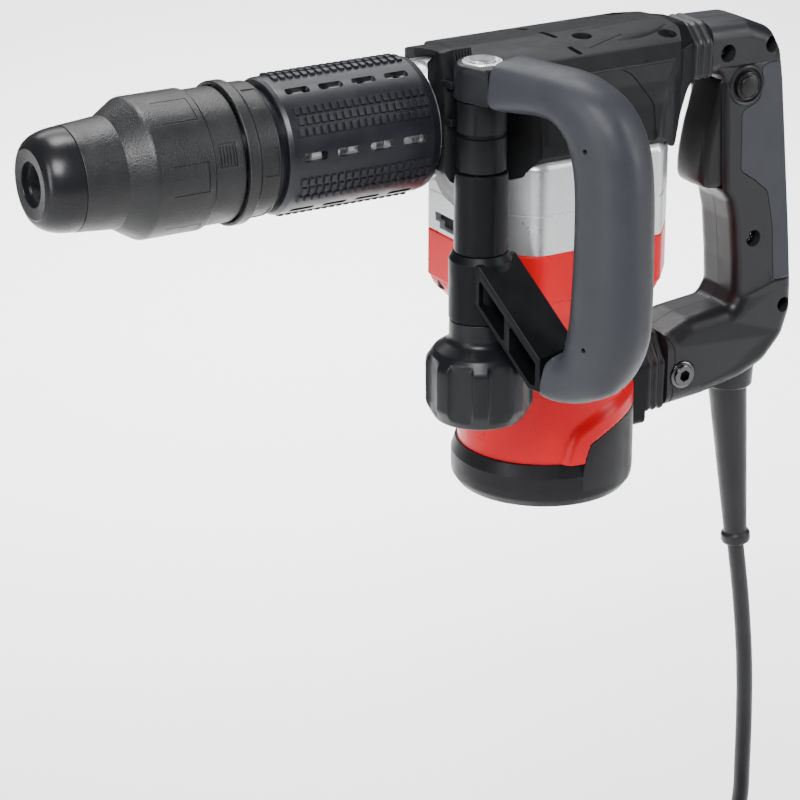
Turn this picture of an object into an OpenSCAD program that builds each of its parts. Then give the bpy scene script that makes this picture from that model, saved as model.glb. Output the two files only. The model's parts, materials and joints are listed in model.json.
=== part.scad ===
// Electric demolition hammer with a side loop handle and a damped rear handle.
// Millimetres. Origin at the mouth of the steel tool bore, on the hammer axis.
// The nose points along -X, +Z is up, and the side handle hangs on the -Y side.

/* [Barrel] */
// Radius of the tool bore
bore_r = 9.05; // [9.02:0.01:9.08]
// Outer radius of the steel tool holder
holder_r = 17.5; // [17:0.1:17.8]
// Outer radius of the aluminium neck where the side handle clamps
neck_r = 27.5; // [27:0.1:27.8]
// Outer radius of the perforated grip sleeve
grip_r = 32.6; // [32:0.1:33]
// Where the grip sleeve starts and ends along the barrel
grip_start = 109; // [108.5:0.1:109.5]
// End of the grip sleeve
grip_end = 189; // [187:0.5:190]

/* [Locking sleeve] */
// Radius of the sleeve at the seam with the rubber cap
cap_r = 23.7; // [23:0.1:24]
// Largest radius of the sleeve
sleeve_r = 32.3; // [31.5:0.1:32.5]
// Distance from the bore mouth to the cap seam
cap_seam = 12.6; // [12:0.1:13]
// Rear end of the sleeve
sleeve_end = 84; // [83:0.5:85]
// Radius of the front lip of the index ring
index_lip_r = 32.9; // [32.5:0.1:33.5]

/* [Hammer mechanism] */
// Radius of the piston and the ram
piston_r = 16.95; // [16.92:0.01:16.98]
// Wall of the steel cylinder tube
cylinder_wall = 2.5; // [2:0.1:2.5]
// Crank radius, half of the piston stroke
crank_radius = 15; // [13:0.5:15]
// Length of the connecting rod
rod_length = 58; // [57:0.5:59]
// Teeth on the crank gear
crank_teeth = 40; // [40:1:40]
// Teeth on the armature pinion
pinion_teeth = 8; // [8:1:8]
// Gear module
gear_module = 1.1; // [1.1:0.1:1.1]

/* [Housings] */
// Distance from the bore mouth to the front of the gear housing
front_x = 212; // [211:0.5:213]
// Rear face of the gear housing
rear_x = 318.5; // [318:0.5:320]
// Half of the housing width
half_w = 44.5; // [44:0.1:45]
// Top of the silver gear housing
silver_top = -14.5; // [-15:0.1:-14]
// Bottom of the silver gear housing
silver_bottom = -61.5; // [-62:0.1:-61]
// Distance from the bore mouth to the motor axis
motor_x = 265; // [265:0.1:265.5]
// Radius of the lower motor housing
motor_r = 42.8; // [42.5:0.1:43]
// Radius of the base cap
base_r = 45; // [44.5:0.1:45.5]
// Height of the bottom of the base cap
base_z = -194; // [-196:0.5:-193]
// Height of the top cover's crown
cover_top = 32; // [31.8:0.1:32.5]

/* [Rear handle] */
// Half of the handle width
grip_half = 18; // [17:0.5:18]
// Wall of the handle shells
shell_wall = 3; // [2.5:0.1:3.2]
// Pivot of the damped handle along the barrel
pivot_x = 336.5; // [336:0.1:337]
// Height of the handle pivot
pivot_z = -148.6; // [-149:0.1:-148]

/* [Side handle] */
// Post position along the barrel
post_x = 202; // [201:0.5:202]
// Post position beside the barrel
post_y = -42; // [-42.5:0.1:-42]
// Angle of the loop about the post, from +X towards -Y
loop_angle = 70; // [60:1:75]
// Distance from the post to the loop's bar
loop_reach = 75; // [73:0.5:77]
// Radius of the knob
knob_r = 25.5; // [24:0.5:25.5]

/* [Cord] */
// Cord diameter
cord_d = 9; // [8:0.5:9]
// Height of the surface that the coil lies on
floor_z = -476; // [-480:1:-474]

/* [Hidden] */
$fn = 64;
fit = 0.05;          // radial running clearance
gap = 0.3;           // clearance between covers
// Barrel stations
window_x = 46;       // roller windows start
bore_length = 40;    // plain bore, before the wider keyed part
relief_r = 9.6;
holder_end = 108;    // rear end of the tool holder
barrel_start = 100.5;
visor_x = 200;
cyl_start = 108.5;
cyl_end = 208;
cyl_r = piston_r + fit;
cyl_out = cyl_r + cylinder_wall;
locking_ring_len = 26;
roller_r = 4;
roller_orbit = 12.6;
// Crank train
crank_x = motor_x - gear_module * (crank_teeth + pinion_teeth) / 2;
pin_x = crank_x - crank_radius;
wrist_x = pin_x - rod_length;
pin_r = 5;
gear_top = -30;
gear_bottom = -40;
// Housing levels
red_band_bottom = -85;
cap_rim = -167;
core_top = -76;
core_bottom = -132;
brush_z = -145;
stator_r = 39.8;
base_screw_r = 37.2;
// Rear handle places
button_x = 372.5;
button_z = -5;
relief_x = 378;
// Side handle levels
block_top = 36;
block_bottom = 20.3;
ring_bottom = -13.7;
tube_bottom = -52.8;
collar_bottom = -85.5;
knob_bottom = -135;
arm_top_z = 33;
arm_low_z = -100;
post_r = 6;
// Cord route from the end of the strain relief down to the coil, points chosen by hand
coil_r = 50;
coil_turns_wide = 3;
coil_turns_high = 4;
coil_x = 345;
coil_y = -59;
cord_route = [
  [387.2, 0, -258], [390, 0, -275], [393.5, 0, -300], [396.5, 0, -330], [397.8, 0, -360], [398, 0, -390],
  [397.7, 0, -410], [395.3, 0, -422.5], [389.5, 0, -433], [381, 0, -440], [370, 0, -443.8],
  [358, 0, -444.5],
  [345, 0, -444.5]];
// Short tail from the coil to the plug
cord_tail = [
  [345, -118, -471.4], [358, -118.3, -470.9], [371, -120.5, -468.6], [384, -125.3, -465], [392, -128, -463.2],
  [398, -129, -462.5]];
plug_x = 398;
plug_y = -129;

// ---------- helpers ----------
module along_x(x) translate([x, 0, 0]) rotate([0, 90, 0]) children();
module rod_x(x0, x1, r) along_x(x0) cylinder(h = x1 - x0, r = r);
module tube_x(x0, x1, r_out, r_in) difference() {
  rod_x(x0, x1, r_out);
  rod_x(x0 - 1, x1 + 1, r_in);
}
// Solid of revolution about the hammer axis, from points given as [x, r]
module turned_x(points) rotate([0, 90, 0]) rotate_extrude() polygon([for (p = points) [p[1], p[0]]]);
module rod_z(x, y, z0, z1, r) translate([x, y, z0]) cylinder(h = z1 - z0, r = r);
module tube_z(x, y, z0, z1, r_out, r_in) difference() {
  rod_z(x, y, z0, z1, r_out);
  rod_z(x, y, z0 - 1, z1 + 1, r_in);
}
module rod_y(x, z, y0, y1, r) translate([x, y0, z]) rotate([-90, 0, 0]) cylinder(h = y1 - y0, r = r);
module box(lo, hi) translate(lo) cube(hi - lo);
// Extrusion of an XZ outline across Y
module side_extrude(y0, y1) translate([0, y1, 0]) rotate([90, 0, 0]) linear_extrude(y1 - y0) children();
// Extrusion of a YZ outline along X
module section_extrude(x0, x1) translate([x0, 0, 0]) rotate([90, 0, 90]) linear_extrude(x1 - x0) children();
// Tube swept along a list of points; rings stay square to the route
function unit(v) = v / norm(v);
function tangent(p, i) = unit(p[min(i + 1, len(p) - 1)] - p[max(i - 1, 0)]);
function side_of(t, ref) = unit(cross(t, ref));
module sweep(path, r, sides, ref) {
  n = len(path);
  points = [for (i = [0:n - 1]) let (t = tangent(path, i), a = side_of(t, ref), b = cross(t, a))
    for (k = [0:sides - 1]) path[i] + r * (a * cos(360 * k / sides) + b * sin(360 * k / sides))];
  walls = [for (i = [0:n - 2], k = [0:sides - 1])
    [i * sides + k, i * sides + (k + 1) % sides, (i + 1) * sides + (k + 1) % sides, (i + 1) * sides + k]];
  start = [[for (k = [0:sides - 1]) sides - 1 - k]];
  end = [[for (k = [0:sides - 1]) (n - 1) * sides + k]];
  polyhedron(points, concat(start, walls, end), convexity = 6);
}
// Points of a coil spring about Z
function coil_path(r, h, turns, steps) =
  [for (i = [0:turns * steps])
  [r * cos(360 * i / steps), r * sin(360 * i / steps), h * i / (turns * steps)]];
// Gear outline with straight-sided teeth; width is the share of the pitch that a tooth fills
module gear_outline(teeth, width, phase) {
  pitch_r = gear_module * teeth / 2;
  root = pitch_r - 1.25 * gear_module;
  step = 360 / teeth;
  half = step * width / 2;
  polygon([for (i = [0:teeth - 1]) let (a = i * step + phase)
    each [root * [cos(a - half * 1.3), sin(a - half * 1.3)],
      (pitch_r + 0.8 * gear_module) * [cos(a - half * 0.55), sin(a - half * 0.55)],
      (pitch_r + 0.8 * gear_module) * [cos(a + half * 0.55), sin(a + half * 0.55)],
      root * [cos(a + half * 1.3), sin(a + half * 1.3)]]]);
}
// Plan of the gear housing and the upper motor housing, moved in by d
module plan(d) {
  k = d * 0.42;
  polygon([[front_x + d, -22 + k], [front_x + 21 + k, -half_w + d], [302 - k, -half_w + d],
    [rear_x - d, -25 + k],
    [rear_x - d, 25 - k], [302 - k, half_w - d], [front_x + 21 + k, half_w - d], [front_x + d, 22 - k]]);
}
// Cross-section of the top cover as [y, z] points, from one foot to the other
cover_section = [[-39.5, 14], [-37, 21.5], [-30, 27.8], [-15, cover_top - 0.9], [0, cover_top],
  [15, cover_top - 0.9], [30, 27.8], [37, 21.5], [39.5, 14]];

// ---------- nose and barrel ----------
module dust_cap() color([0.07, 0.07, 0.08])
  turned_x([[-4, 10.2], [-4, 15.6], [-3.2, 18], [0, 21.3], [5, 23], [9, 23.6],
    [cap_seam, cap_r], [cap_seam, 17.1],
    [-0.1, 17.1], [-0.1, 10.2]]);

module locking_sleeve() color([0.16, 0.16, 0.17])
  turned_x([[cap_seam + gap, 17.65], [cap_seam + gap, cap_r + 0.1], [24, 25], [31, 26.4],
    [36, 29.4], [41, sleeve_r],
    [71, sleeve_r], [72, 31], [sleeve_end, 31], [sleeve_end, 24.4], [window_x - 6, 24.4],
    [window_x - 6, 17.65]]);

module locking_ring() color([0.62, 0.63, 0.65])
  tube_x(window_x - 5.9, window_x - 5.9 + locking_ring_len, 24.3, holder_r + fit);

module sleeve_spring() color([0.7, 0.71, 0.73])
  translate([window_x - 5.7 + locking_ring_len + 0.9, 0, 0]) rotate([0, 90, 0])
    sweep(coil_path(21, 14, 4, 20), 0.8, 8, [0, 0, 1]);

module locking_rollers() color([0.75, 0.76, 0.78]) for (s = [-1, 1])
  translate([window_x + 1.5, 0, s * roller_orbit]) rotate([0, 90, 0]) cylinder(h = 16, r = roller_r);

module tool_holder() color([0.45, 0.46, 0.48]) {
  difference() {
    turned_x([[0, bore_r], [0, 16], [1, 17], [14, 17], [14, holder_r], [sleeve_end, holder_r],
      [sleeve_end, 23.9], [87.2, 23.9], [87.2, holder_r], [holder_end, holder_r], [holder_end, 12.55],
      [77, 12.55], [77, relief_r], [bore_length, relief_r], [bore_length, bore_r]]);
    for (s = [-1, 1]) box([window_x + 1.2, -roller_r - fit, s > 0 ? 5 : -20],
      [window_x + 17.8, roller_r + fit, s > 0 ? 20 : -5]);
  }
  // driving keys that take the slots of the tool's shank
  for (a = [0, 90, 180]) rotate([a - 90, 0, 0]) box([window_x + 20, -2.5, 7.2], [72, 2.5, relief_r + 0.4]);
}

module index_ring() color([0.12, 0.12, 0.13]) difference() {
  turned_x([[87.8, 31.6], [87.8, index_lip_r], [92.2, index_lip_r], [93, 31], [105, 31],
    [105, 27.4], [97, 27.4],
    [97, holder_r + fit], [92, holder_r + fit], [92, 31.6]]);
  // recessed thumb flats around the rim
  for (i = [0:11]) rotate([i * 30 + 15, 0, 0]) box([96, -4, 30.4], [103.5, 4, 34]);
}

module front_barrel() color([0.78, 0.79, 0.8])
  turned_x([[barrel_start, holder_r + fit], [barrel_start, 27], [108.3, 27], [108.9, 28.6],
    [grip_end - 1, 28.6],
    [grip_end, neck_r], [front_x - 0.2, neck_r], [front_x - 0.2, cyl_out + fit], [cyl_start, cyl_out + fit],
    [cyl_start, holder_r + fit]]);

module grip_sleeve() color([0.1, 0.1, 0.11]) {
  slots = 4;
  rows = 6;
  difference() {
    turned_x([[grip_start, 28.8], [grip_start, 30.3], [grip_start + 4, grip_r], [grip_end - 5, grip_r],
      [grip_end - 1.5, 31], [grip_end - 1.5, 28.8]]);
    for (j = [0:rows - 1], i = [0:slots - 1]) rotate([j * 60 + 20, 0, 0])
      box([grip_start + 9 + i * 16.5, -1.6, 27], [grip_start + 19 + i * 16.5, 1.6, 34]);
  }
}

module cylinder_tube() color([0.6, 0.61, 0.63]) tube_x(cyl_start + 0.2, cyl_end, cyl_out, cyl_r);

// ---------- hammer mechanism ----------
module striker() color([0.55, 0.56, 0.58])
  turned_x([[78, 0], [78, 7.5], [79.5, 9], [83, 9], [85, 12.5], [cyl_start + 6, 12.5],
    [cyl_start + 6, piston_r],
    [124, piston_r], [124, 0]]);

module ram() color([0.55, 0.56, 0.58]) difference() {
  rod_x(128, 148, piston_r);
  for (x = [131, 142]) tube_x(x, x + 2.6, 18, piston_r - 1.8);
}

module ram_seals() color([0.05, 0.05, 0.05]) for (x = [131, 142])
  tube_x(x + 0.2, x + 2.4, piston_r, piston_r - 1.7);

module piston() color([0.72, 0.73, 0.75]) difference() {
  rod_x(152, 178, piston_r);
  rod_x(158, 179, 12.8);
  rod_z(wrist_x, 0, -18, 18, 4.05);
}

module wrist_pin() color([0.6, 0.6, 0.62]) rod_z(wrist_x, 0, -15.8, 15.8, 4);

module connecting_rod() color([0.7, 0.71, 0.73]) difference() {
  union() {
    rod_z(wrist_x, 0, -5, 5, 7.2);
    rod_z(pin_x, 0, -5, 5, 8);
    box([wrist_x, -4.5, -3.5], [pin_x, 4.5, 3.5]);
  }
  rod_z(wrist_x, 0, -6, 6, 4 + fit);
  rod_z(pin_x, 0, -6, 6, pin_r + fit);
}

module crankshaft() color([0.5, 0.51, 0.53]) {
  rod_z(crank_x, 0, -18, -10, 21);
  rod_z(crank_x, 0, -41, -18, 8);
  rod_z(crank_x, 0, -52, -41, 6);
  rod_z(pin_x, 0, -10, -5.4, pin_r);
}

module crank_gear() color([0.58, 0.58, 0.6]) difference() {
  translate([crank_x, 0, gear_bottom]) linear_extrude(gear_top - gear_bottom)
    gear_outline(crank_teeth, 0.44, 0);
  rod_z(crank_x, 0, gear_bottom - 1, gear_top + 1, 8 + fit);
}

module crank_bearings() color([0.8, 0.8, 0.82]) {
  tube_z(crank_x, 0, -28.4, -19.6, 15.95, 8 + fit);
  tube_z(crank_x, 0, -51.4, -42.6, 10.95, 6 + fit);
}

// ---------- housings ----------
module gear_housing() color([0.76, 0.77, 0.78]) difference() {
  union() {
    translate([0, 0, silver_bottom]) linear_extrude(silver_top - silver_bottom) plan(0);
    // inner casting under the covers
    intersection() {
      translate([0, 0, silver_top]) linear_extrude(23.5 - silver_top) plan(2.5);
      box([front_x, -29.4, silver_top], [312, 29.4, 24]);
    }
  }
  // crank chamber, bearing seats and gear chamber
  rod_z(crank_x, 0, -18.8, 18, 24.4);
  box([crank_x - 24.4, -24.5, -8], [crank_x + 25.5, 24.5, 12]);
  rod_z(crank_x, 0, -29, -18, 16);
  rod_z(crank_x, 0, -41.5, -29, 24.2);
  rod_z(crank_x, 0, -62, -41, 11);
  rod_z(motor_x, 0, -43, -28, 7);
  rod_z(motor_x, 0, -62, -42, 13);
  rod_x(front_x - 1, front_x + 12, 19.6);
  // hollow rear of the casting
  box([292, -26, -52], [309, 26, 18]);
  for (s = [-1, 1]) box([222, s > 0 ? 30 : -37, -52], [286, s > 0 ? 37 : -30, -20]);
}

cover_screw_spots = [[277, -10.5], [318, -22], [318, 22]];
module top_cover() color([0.13, 0.13, 0.14]) difference() {
  union() {
    section_extrude(front_x, 330) polygon(cover_section);
    // visor over the neck
    section_extrude(visor_x, front_x) polygon([[-12, 26], [-12, cover_top - 0.7],
      [0, cover_top], [15, cover_top - 0.9],
      [24, 29], [24, 18], [10, 26]]);
    // shoulder that carries the bellows
    section_extrude(330, 342) polygon([[-24, 2], [-24, 20], [-15, 27], [0, 29.5], [15, 27],
      [24, 20], [24, 2]]);
  }
  section_extrude(front_x - 1, 327) polygon([[-34, 13], [-34, 20], [-29, 25], [29, 25],
    [34, 20], [34, 13]]);
  rod_x(190, 216, 29.2);
  // front corners that follow the gear housing
  for (s = [-1, 1]) translate([0, 0, 10]) linear_extrude(30)
    polygon([[front_x - 1, s * 23], [front_x + 22, s * 46], [front_x - 1, s * 46]]);
  section_extrude(326, 339) polygon([[-21, 1], [-21, 18.5], [-14, 23.5], [14, 23.5], [21, 18.5], [21, 1]]);
  for (p = cover_screw_spots) {
    rod_z(p[0], p[1], 20, 40, 1.6);
    rod_z(p[0], p[1], 27, 40, 3.6);
  }
}

module cover_screws() color([0.5, 0.5, 0.52]) for (p = cover_screw_spots)
  rod_z(p[0], p[1], 25.2, 28, 1.5);

module side_panels() color([0.13, 0.13, 0.14]) for (s = [-1, 1]) mirror([0, s < 0 ? 0 : 1, 0])
  difference() {
  intersection() {
    side_extrude(-half_w, -20) polygon([[front_x + 1, silver_top + gap], [front_x + 1, 13.7],
      [329.7, 13.7], [329.7, 1.8], [341, 1.8], [331, -18], [324.5, -29], [rear_x + gap, -29],
      [rear_x + gap, silver_top + gap]]);
    translate([0, 0, -40]) linear_extrude(60) polygon([[front_x + 1, -23],
      [front_x + 21, -half_w], [302, -half_w],
      [rear_x, -27], [342, -24], [342, -19], [front_x + 1, -19]]);
  }
  // room for the inner casting, and a hollow behind the outer wall
  box([front_x - 1, -29.7, -40], [312.3, -10, 20]);
  box([238, -41.5, -11.5], [300, -29, 20]);
}

module front_foot() color([0.08, 0.08, 0.09]) for (s = [-1, 1])
  rod_z(front_x + 6.5, s * 14, red_band_bottom - 6, red_band_bottom - 0.1, 5);

module motor_housing() color([0.84, 0.1, 0.13]) difference() {
  union() {
    translate([0, 0, red_band_bottom]) linear_extrude(silver_bottom - red_band_bottom - 0.1) plan(0);
    rod_z(motor_x, 0, cap_rim, red_band_bottom, motor_r);
  }
  rod_z(motor_x, 0, -75, -60, 38);
  rod_z(motor_x, 0, -152, -74, stator_r + 0.1);
  difference() {
    rod_z(motor_x, 0, cap_rim - 1, -151, stator_r + 0.1);
    for (a = [45:90:315])
      rod_z(motor_x + base_screw_r * cos(a), base_screw_r * sin(a), cap_rim - 1, -150, 4.5);
  }
  for (a = [45:90:315])
    rod_z(motor_x + base_screw_r * cos(a), base_screw_r * sin(a), cap_rim - 1, -154, 1.6);
}

module base_cap() color([0.2, 0.2, 0.21]) difference() {
  union() {
    rod_z(motor_x, 0, base_z, cap_rim - 0.2, base_r);
    // the rim rises behind the motor housing
    intersection() {
      tube_z(motor_x, 0, cap_rim - 1, -150, base_r, motor_r + 0.2);
      box([290, -60, -170], [320, 60, -149]);
    }
  }
  difference() {
    rod_z(motor_x, 0, base_z + 4, cap_rim + 1, 42);
    rod_z(motor_x, 0, base_z, -171, 15);
    for (a = [45:90:315])
      rod_z(motor_x + base_screw_r * cos(a), base_screw_r * sin(a), base_z, cap_rim - 0.2, 4.5);
  }
  rod_z(motor_x, 0, -180.3, cap_rim, 11 + fit);
  for (a = [45:90:315]) {
    rod_z(motor_x + base_screw_r * cos(a), base_screw_r * sin(a), base_z - 1, cap_rim + 1, 1.6);
    rod_z(motor_x + base_screw_r * cos(a), base_screw_r * sin(a), base_z - 1, base_z + 3, 3.6);
  }
}

module base_screws() color([0.5, 0.5, 0.52]) for (a = [45:90:315]) {
  rod_z(motor_x + base_screw_r * cos(a), base_screw_r * sin(a), base_z + 0.6, -156, 1.5);
  rod_z(motor_x + base_screw_r * cos(a), base_screw_r * sin(a), base_z + 0.6, base_z + 2.9, 3.4);
}

module pivot_bracket() color([0.1, 0.1, 0.11]) difference() {
  union() {
    section_extrude(296, 316) polygon([[-16, -172], [-17, -140], [-8, -126], [8, -126],
      [17, -140], [16, -172]]);
    box([315, -9, -163], [346, 9, -136]);
  }
  rod_z(motor_x, 0, -190, -100, base_r + 0.2);
  rod_y(pivot_x, pivot_z, -20, 20, 5 + fit);
}

// ---------- motor ----------
module armature() color([0.55, 0.5, 0.45]) {
  translate([motor_x, 0, gear_bottom - 1]) linear_extrude(12)
    gear_outline(pinion_teeth, 0.44, 180 + 180 / pinion_teeth);
  rod_z(motor_x, 0, -180, gear_bottom - 1, 4);
  difference() {
    rod_z(motor_x, 0, core_bottom, core_top, 23.6);
    for (a = [0:30:330]) translate([motor_x, 0, 0]) rotate([0, 0, a]) box([21, -1, core_bottom - 1],
      [25, 1, core_top + 1]);
  }
  rod_z(motor_x, 0, core_top, core_top + 4, 20);
  rod_z(motor_x, 0, core_bottom - 5, core_bottom, 20);
}

module commutator() color([0.72, 0.45, 0.25]) tube_z(motor_x, 0, -152, -138.5, 13, 4 + fit);

module fan() color([0.3, 0.3, 0.32]) {
  tube_z(motor_x, 0, -71, -69, 36, 4 + fit);
  tube_z(motor_x, 0, -69, -63.5, 8, 4 + fit);
  for (a = [0:30:330]) translate([motor_x, 0, 0]) rotate([0, 0, a]) box([10, -0.8, -69],
    [35.5, 0.8, -63.5]);
}

module stator() color([0.45, 0.42, 0.4]) tube_z(motor_x, 0, core_bottom, core_top, stator_r, 24.4);

module motor_bearings() color([0.8, 0.8, 0.82]) {
  tube_z(motor_x, 0, -54.4, -44, 12.95, 4 + fit);
  tube_z(motor_x, 0, -180, -172, 11, 4 + fit);
}

module brush_holders() color([0.7, 0.6, 0.3]) for (s = [-1, 1]) mirror([0, s > 0 ? 0 : 1, 0]) difference() {
  box([motor_x - 4.5, 15, brush_z - 6], [motor_x + 4.5, 38, brush_z + 6]);
  box([motor_x - 3, 14, brush_z - 4.5], [motor_x + 3, 36, brush_z + 4.5]);
}

module brushes() color([0.12, 0.12, 0.12]) for (s = [-1, 1]) mirror([0, s > 0 ? 0 : 1, 0])
  box([motor_x - 2.9, 13.4, brush_z - 4.4], [motor_x + 2.9, 30, brush_z + 4.4]);

// ---------- rear handle ----------
module handle_outline() polygon([[357, 26.8], [373, 26.5], [384, 21.5], [390.5, 12],
  [394.5, -4], [398, -40],
  [402, -81], [404.5, -110], [405.5, -124], [402, -137], [395, -147.5], [388, -153],
  [375, -158.5], [350, -163],
  [327.5, -165], [327.5, -126], [346, -121], [356, -117], [363, -109], [366, -98], [366.5, -60], [370, -56],
  [370, -1], [357, 2]]);
module handle_layers() {
  side_extrude(-12, 12) handle_outline();
  rod_z(relief_x, 0, -164, -150, 12.5);
  for (s = [-1, 1]) {
    side_extrude(s > 0 ? 12 : -15.5, s > 0 ? 15.5 : -12) offset(delta = -1.5) handle_outline();
    side_extrude(s > 0 ? 15.5 : -grip_half, s > 0 ? grip_half : -15.5) offset(delta = -4.5)
      handle_outline();
  }
}
module handle_body() difference() {
  handle_layers();
  side_extrude(-13.5, 13.5) offset(delta = -shell_wall - 1) handle_outline();
  // trigger mouth, pivot hole, button hole and soft insert bed
  box([366, -9.4, -57], [378, 9.4, -0.5]);
  rod_y(pivot_x, pivot_z, -20, 20, 5 + fit);
  box([326, -9.4, -164], [350, 9.4, -135.5]);
  rod_y(button_x, button_z, -20, 20, 7.1);
  insert_bed(gap * 0.5);
  for (p = handle_screw_spots) rod_y(p[0], p[1], -20, 20, 1.6);
  for (p = handle_screw_spots) rod_y(p[0], p[1], -20, -14.6, 3.4);
  rod_z(relief_x, 0, -165, -148, 6.2);
}
handle_screw_spots = [[360, 14], [379, -84]];
module insert_bed(grow) intersection() {
  side_extrude(-15.5 - grow, 15.5 + grow) polygon([[386 - grow, -14 + grow], [402, -14 + grow], [408, -100],
    [410, -123 - grow], [398 - grow, -123 - grow], [397 - grow, -72], [386 - grow, -60]]);
  side_extrude(-20, 20) offset(delta = 0.01) handle_outline();
}
module handle_shell_left() color([0.2, 0.2, 0.21]) intersection() {
  handle_body();
  box([300, -20, -200], [440, -0.02, 60]);
}
module handle_shell_right() color([0.2, 0.2, 0.21]) intersection() {
  handle_body();
  box([300, 0.02, -200], [440, 20, 60]);
}
module soft_insert() color([0.27, 0.27, 0.3]) difference() {
  insert_bed(0);
  side_extrude(-13.6, 13.6) offset(delta = -shell_wall - 0.9) handle_outline();
}
module handle_screws() color([0.6, 0.6, 0.62]) for (p = handle_screw_spots) {
  rod_y(p[0], p[1], -16.8, -14.7, 3.2);
  rod_y(p[0], p[1], -14.8, 14.5, 1.5);
}
module switch() color([0.15, 0.15, 0.16]) box([380, -9.5, -52], [392, 9.5, -20]);

module trigger() color([0.08, 0.08, 0.09]) difference() {
  side_extrude(-9, 9) polygon([[355, -6], [358, -3], [374, -3], [374, -54], [353, -55],
    [348.5, -51], [349, -45],
    [353, -30], [354.5, -18]]);
  side_extrude(-6.5, 6.5) polygon([[359, -7], [375, -7], [375, -50], [357, -50]]);
}
module lock_button() color([0.09, 0.09, 0.1]) rod_y(button_x, button_z, -19.6, -11.8, 7);

// Ribbed sleeve of the damped joint: outline rings that swell and narrow
module bellows(x0, x1, ribs, outer, inner) {
  pitch = (x1 - x0) / ribs;
  for (i = [0:ribs - 1]) section_extrude(x0 + i * pitch, x0 + (i + 0.62) * pitch) difference() {
    polygon(outer);
    polygon(inner);
  }
  section_extrude(x0, x1) difference() {
    polygon([for (p = outer) [p[0] * 0.94, p[1] > (outer[0][1] + outer[2][1])
      / 2 ? p[1] - 1.4 : p[1] + 1.4]]);
    polygon(inner);
  }
}
module upper_bellows() color([0.07, 0.07, 0.08])
  bellows(342.2, 356.8, 3, [[-17, 3], [-18, 19], [-9, 27.5], [9, 27.5], [18, 19], [17, 3]],
    [[-13, 6], [-13, 18], [-7, 23], [7, 23], [13, 18], [13, 6]]);
module lower_bellows() color([0.07, 0.07, 0.08])
  bellows(316.2, 327.3, 3, [[-16, -166], [-17, -140], [-8, -125], [8, -125], [17, -140], [16, -166]],
    [[-12, -163.5], [-12, -141], [-6, -131], [6, -131], [12, -141], [12, -163.5]]);
module damper_springs() color([0.7, 0.71, 0.73]) for (s = [-1, 1])
  translate([343.4, s * 6, 12]) rotate([0, 90, 0]) sweep(coil_path(4, 12.2, 5, 16), 0.9, 8, [0, 0, 1]);
module pivot_bolt() color([0.35, 0.35, 0.37]) difference() {
  union() {
    rod_y(pivot_x, pivot_z, -17.6, 17.6, 5);
    rod_y(pivot_x, pivot_z, -20.2, -18.2, 7);
    rod_y(pivot_x, pivot_z, -18.3, -17.5, 4.5);
  }
  rod_y(pivot_x, pivot_z, -21, -14, 3.2, $fn = 6);
}

// ---------- side handle ----------
module clamp_saddle() color([0.1, 0.1, 0.11]) difference() {
  union() {
    // wing plate against the neck, with corners cut at 45 degrees
    section_extrude(194, 210.5) polygon([[-19, -34], [-25, -38], [-33, -30], [-33, 22],
      [-28, 40], [-25, 40],
      [-22.5, 32], [-20, 22]]);
    box([194, -42, -13.7], [210.5, -30, 20]);
    rod_z(post_x, post_y, ring_bottom, 20, 11.6);
  }
  rod_x(190, 215, neck_r + 1.5);
  rod_z(post_x, post_y, -60, 60, post_r + fit);
  rod_z(post_x, post_y, -60, ring_bottom, 13);
  rod_z(post_x, post_y, 20, 60, 13.2);
}
module clamp_band() color([0.62, 0.63, 0.65]) tube_x(195, 209.5, neck_r + 1.35, neck_r + fit);
module side_post() color([0.6, 0.61, 0.63]) {
  rod_z(post_x, post_y, -131, 38.5, post_r);
}
module post_nut() color([0.8, 0.81, 0.82]) {
  tube_z(post_x, post_y, block_top + 0.2, 37.2, 10.6, post_r + 0.02);
}
module in_loop() translate([post_x, post_y, 0]) rotate([0, 0, -loop_angle]) children();
// Steel rods inside the loop, in the loop's own plane
module loop_rod(r) {
  translate([8, 0, arm_top_z - 5]) rotate([0, 90, 0]) cylinder(h = 60, r = r);
  translate([loop_reach - 5, 0, arm_low_z + 5]) cylinder(h = 122, r = r);
  translate([47, 0, arm_low_z]) rotate([0, 90, 0]) cylinder(h = 21, r = r);
}
module loop_core() color([0.15, 0.15, 0.16]) in_loop() difference() {
  union() {
    loop_rod(6.5);
    translate([0, 0, block_bottom]) cylinder(h = block_top - block_bottom, r = 13);
    box([0, -13, block_bottom], [13.5, 13, block_top]);
  }
  translate([0, 0, -1]) cylinder(h = 60, r = post_r + fit);
}
module bar_slice(s, z, a, b, h) translate([s, 0, z]) linear_extrude(h)
  polygon([for (i = [0:23]) [b * cos(15 * i), a * sin(15 * i)]]);
module arm_slice(s, z, a, b, h) translate([s, 0, z]) rotate([0, 90, 0]) linear_extrude(h)
  polygon([for (i = [0:23]) [b * cos(15 * i), a * sin(15 * i)]]);
module loop_cover() color([0.27, 0.28, 0.31]) in_loop() difference() {
  union() {
    hull() {
      arm_slice(14, arm_top_z - 1, 13, 9.5, 1);
      arm_slice(48, arm_top_z - 1, 15, 10.5, 1);
    }
    hull() {
      arm_slice(48, arm_top_z - 1, 15, 10.5, 1);
      bar_slice(loop_reach + 1, -6, 16, 17.5, 1);
      arm_slice(loop_reach - 4, arm_top_z - 1, 14, 9, 1);
    }
    hull() {
      bar_slice(loop_reach + 1, -6, 16, 17.5, 1);
      bar_slice(loop_reach, -64, 16, 18.5, 1);
    }
    hull() {
      bar_slice(loop_reach, -64, 16, 18.5, 1);
      arm_slice(loop_reach - 4, arm_low_z, 13, 10, 1);
      arm_slice(49, arm_low_z - 1, 12, 9, 1);
    }
  }
  loop_rod(6.55);
}
module spacer_tube() color([0.12, 0.12, 0.13])
  tube_z(post_x, post_y, tube_bottom, ring_bottom - 0.8, 12.5, post_r + fit);
strut_half = 13.8;
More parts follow.
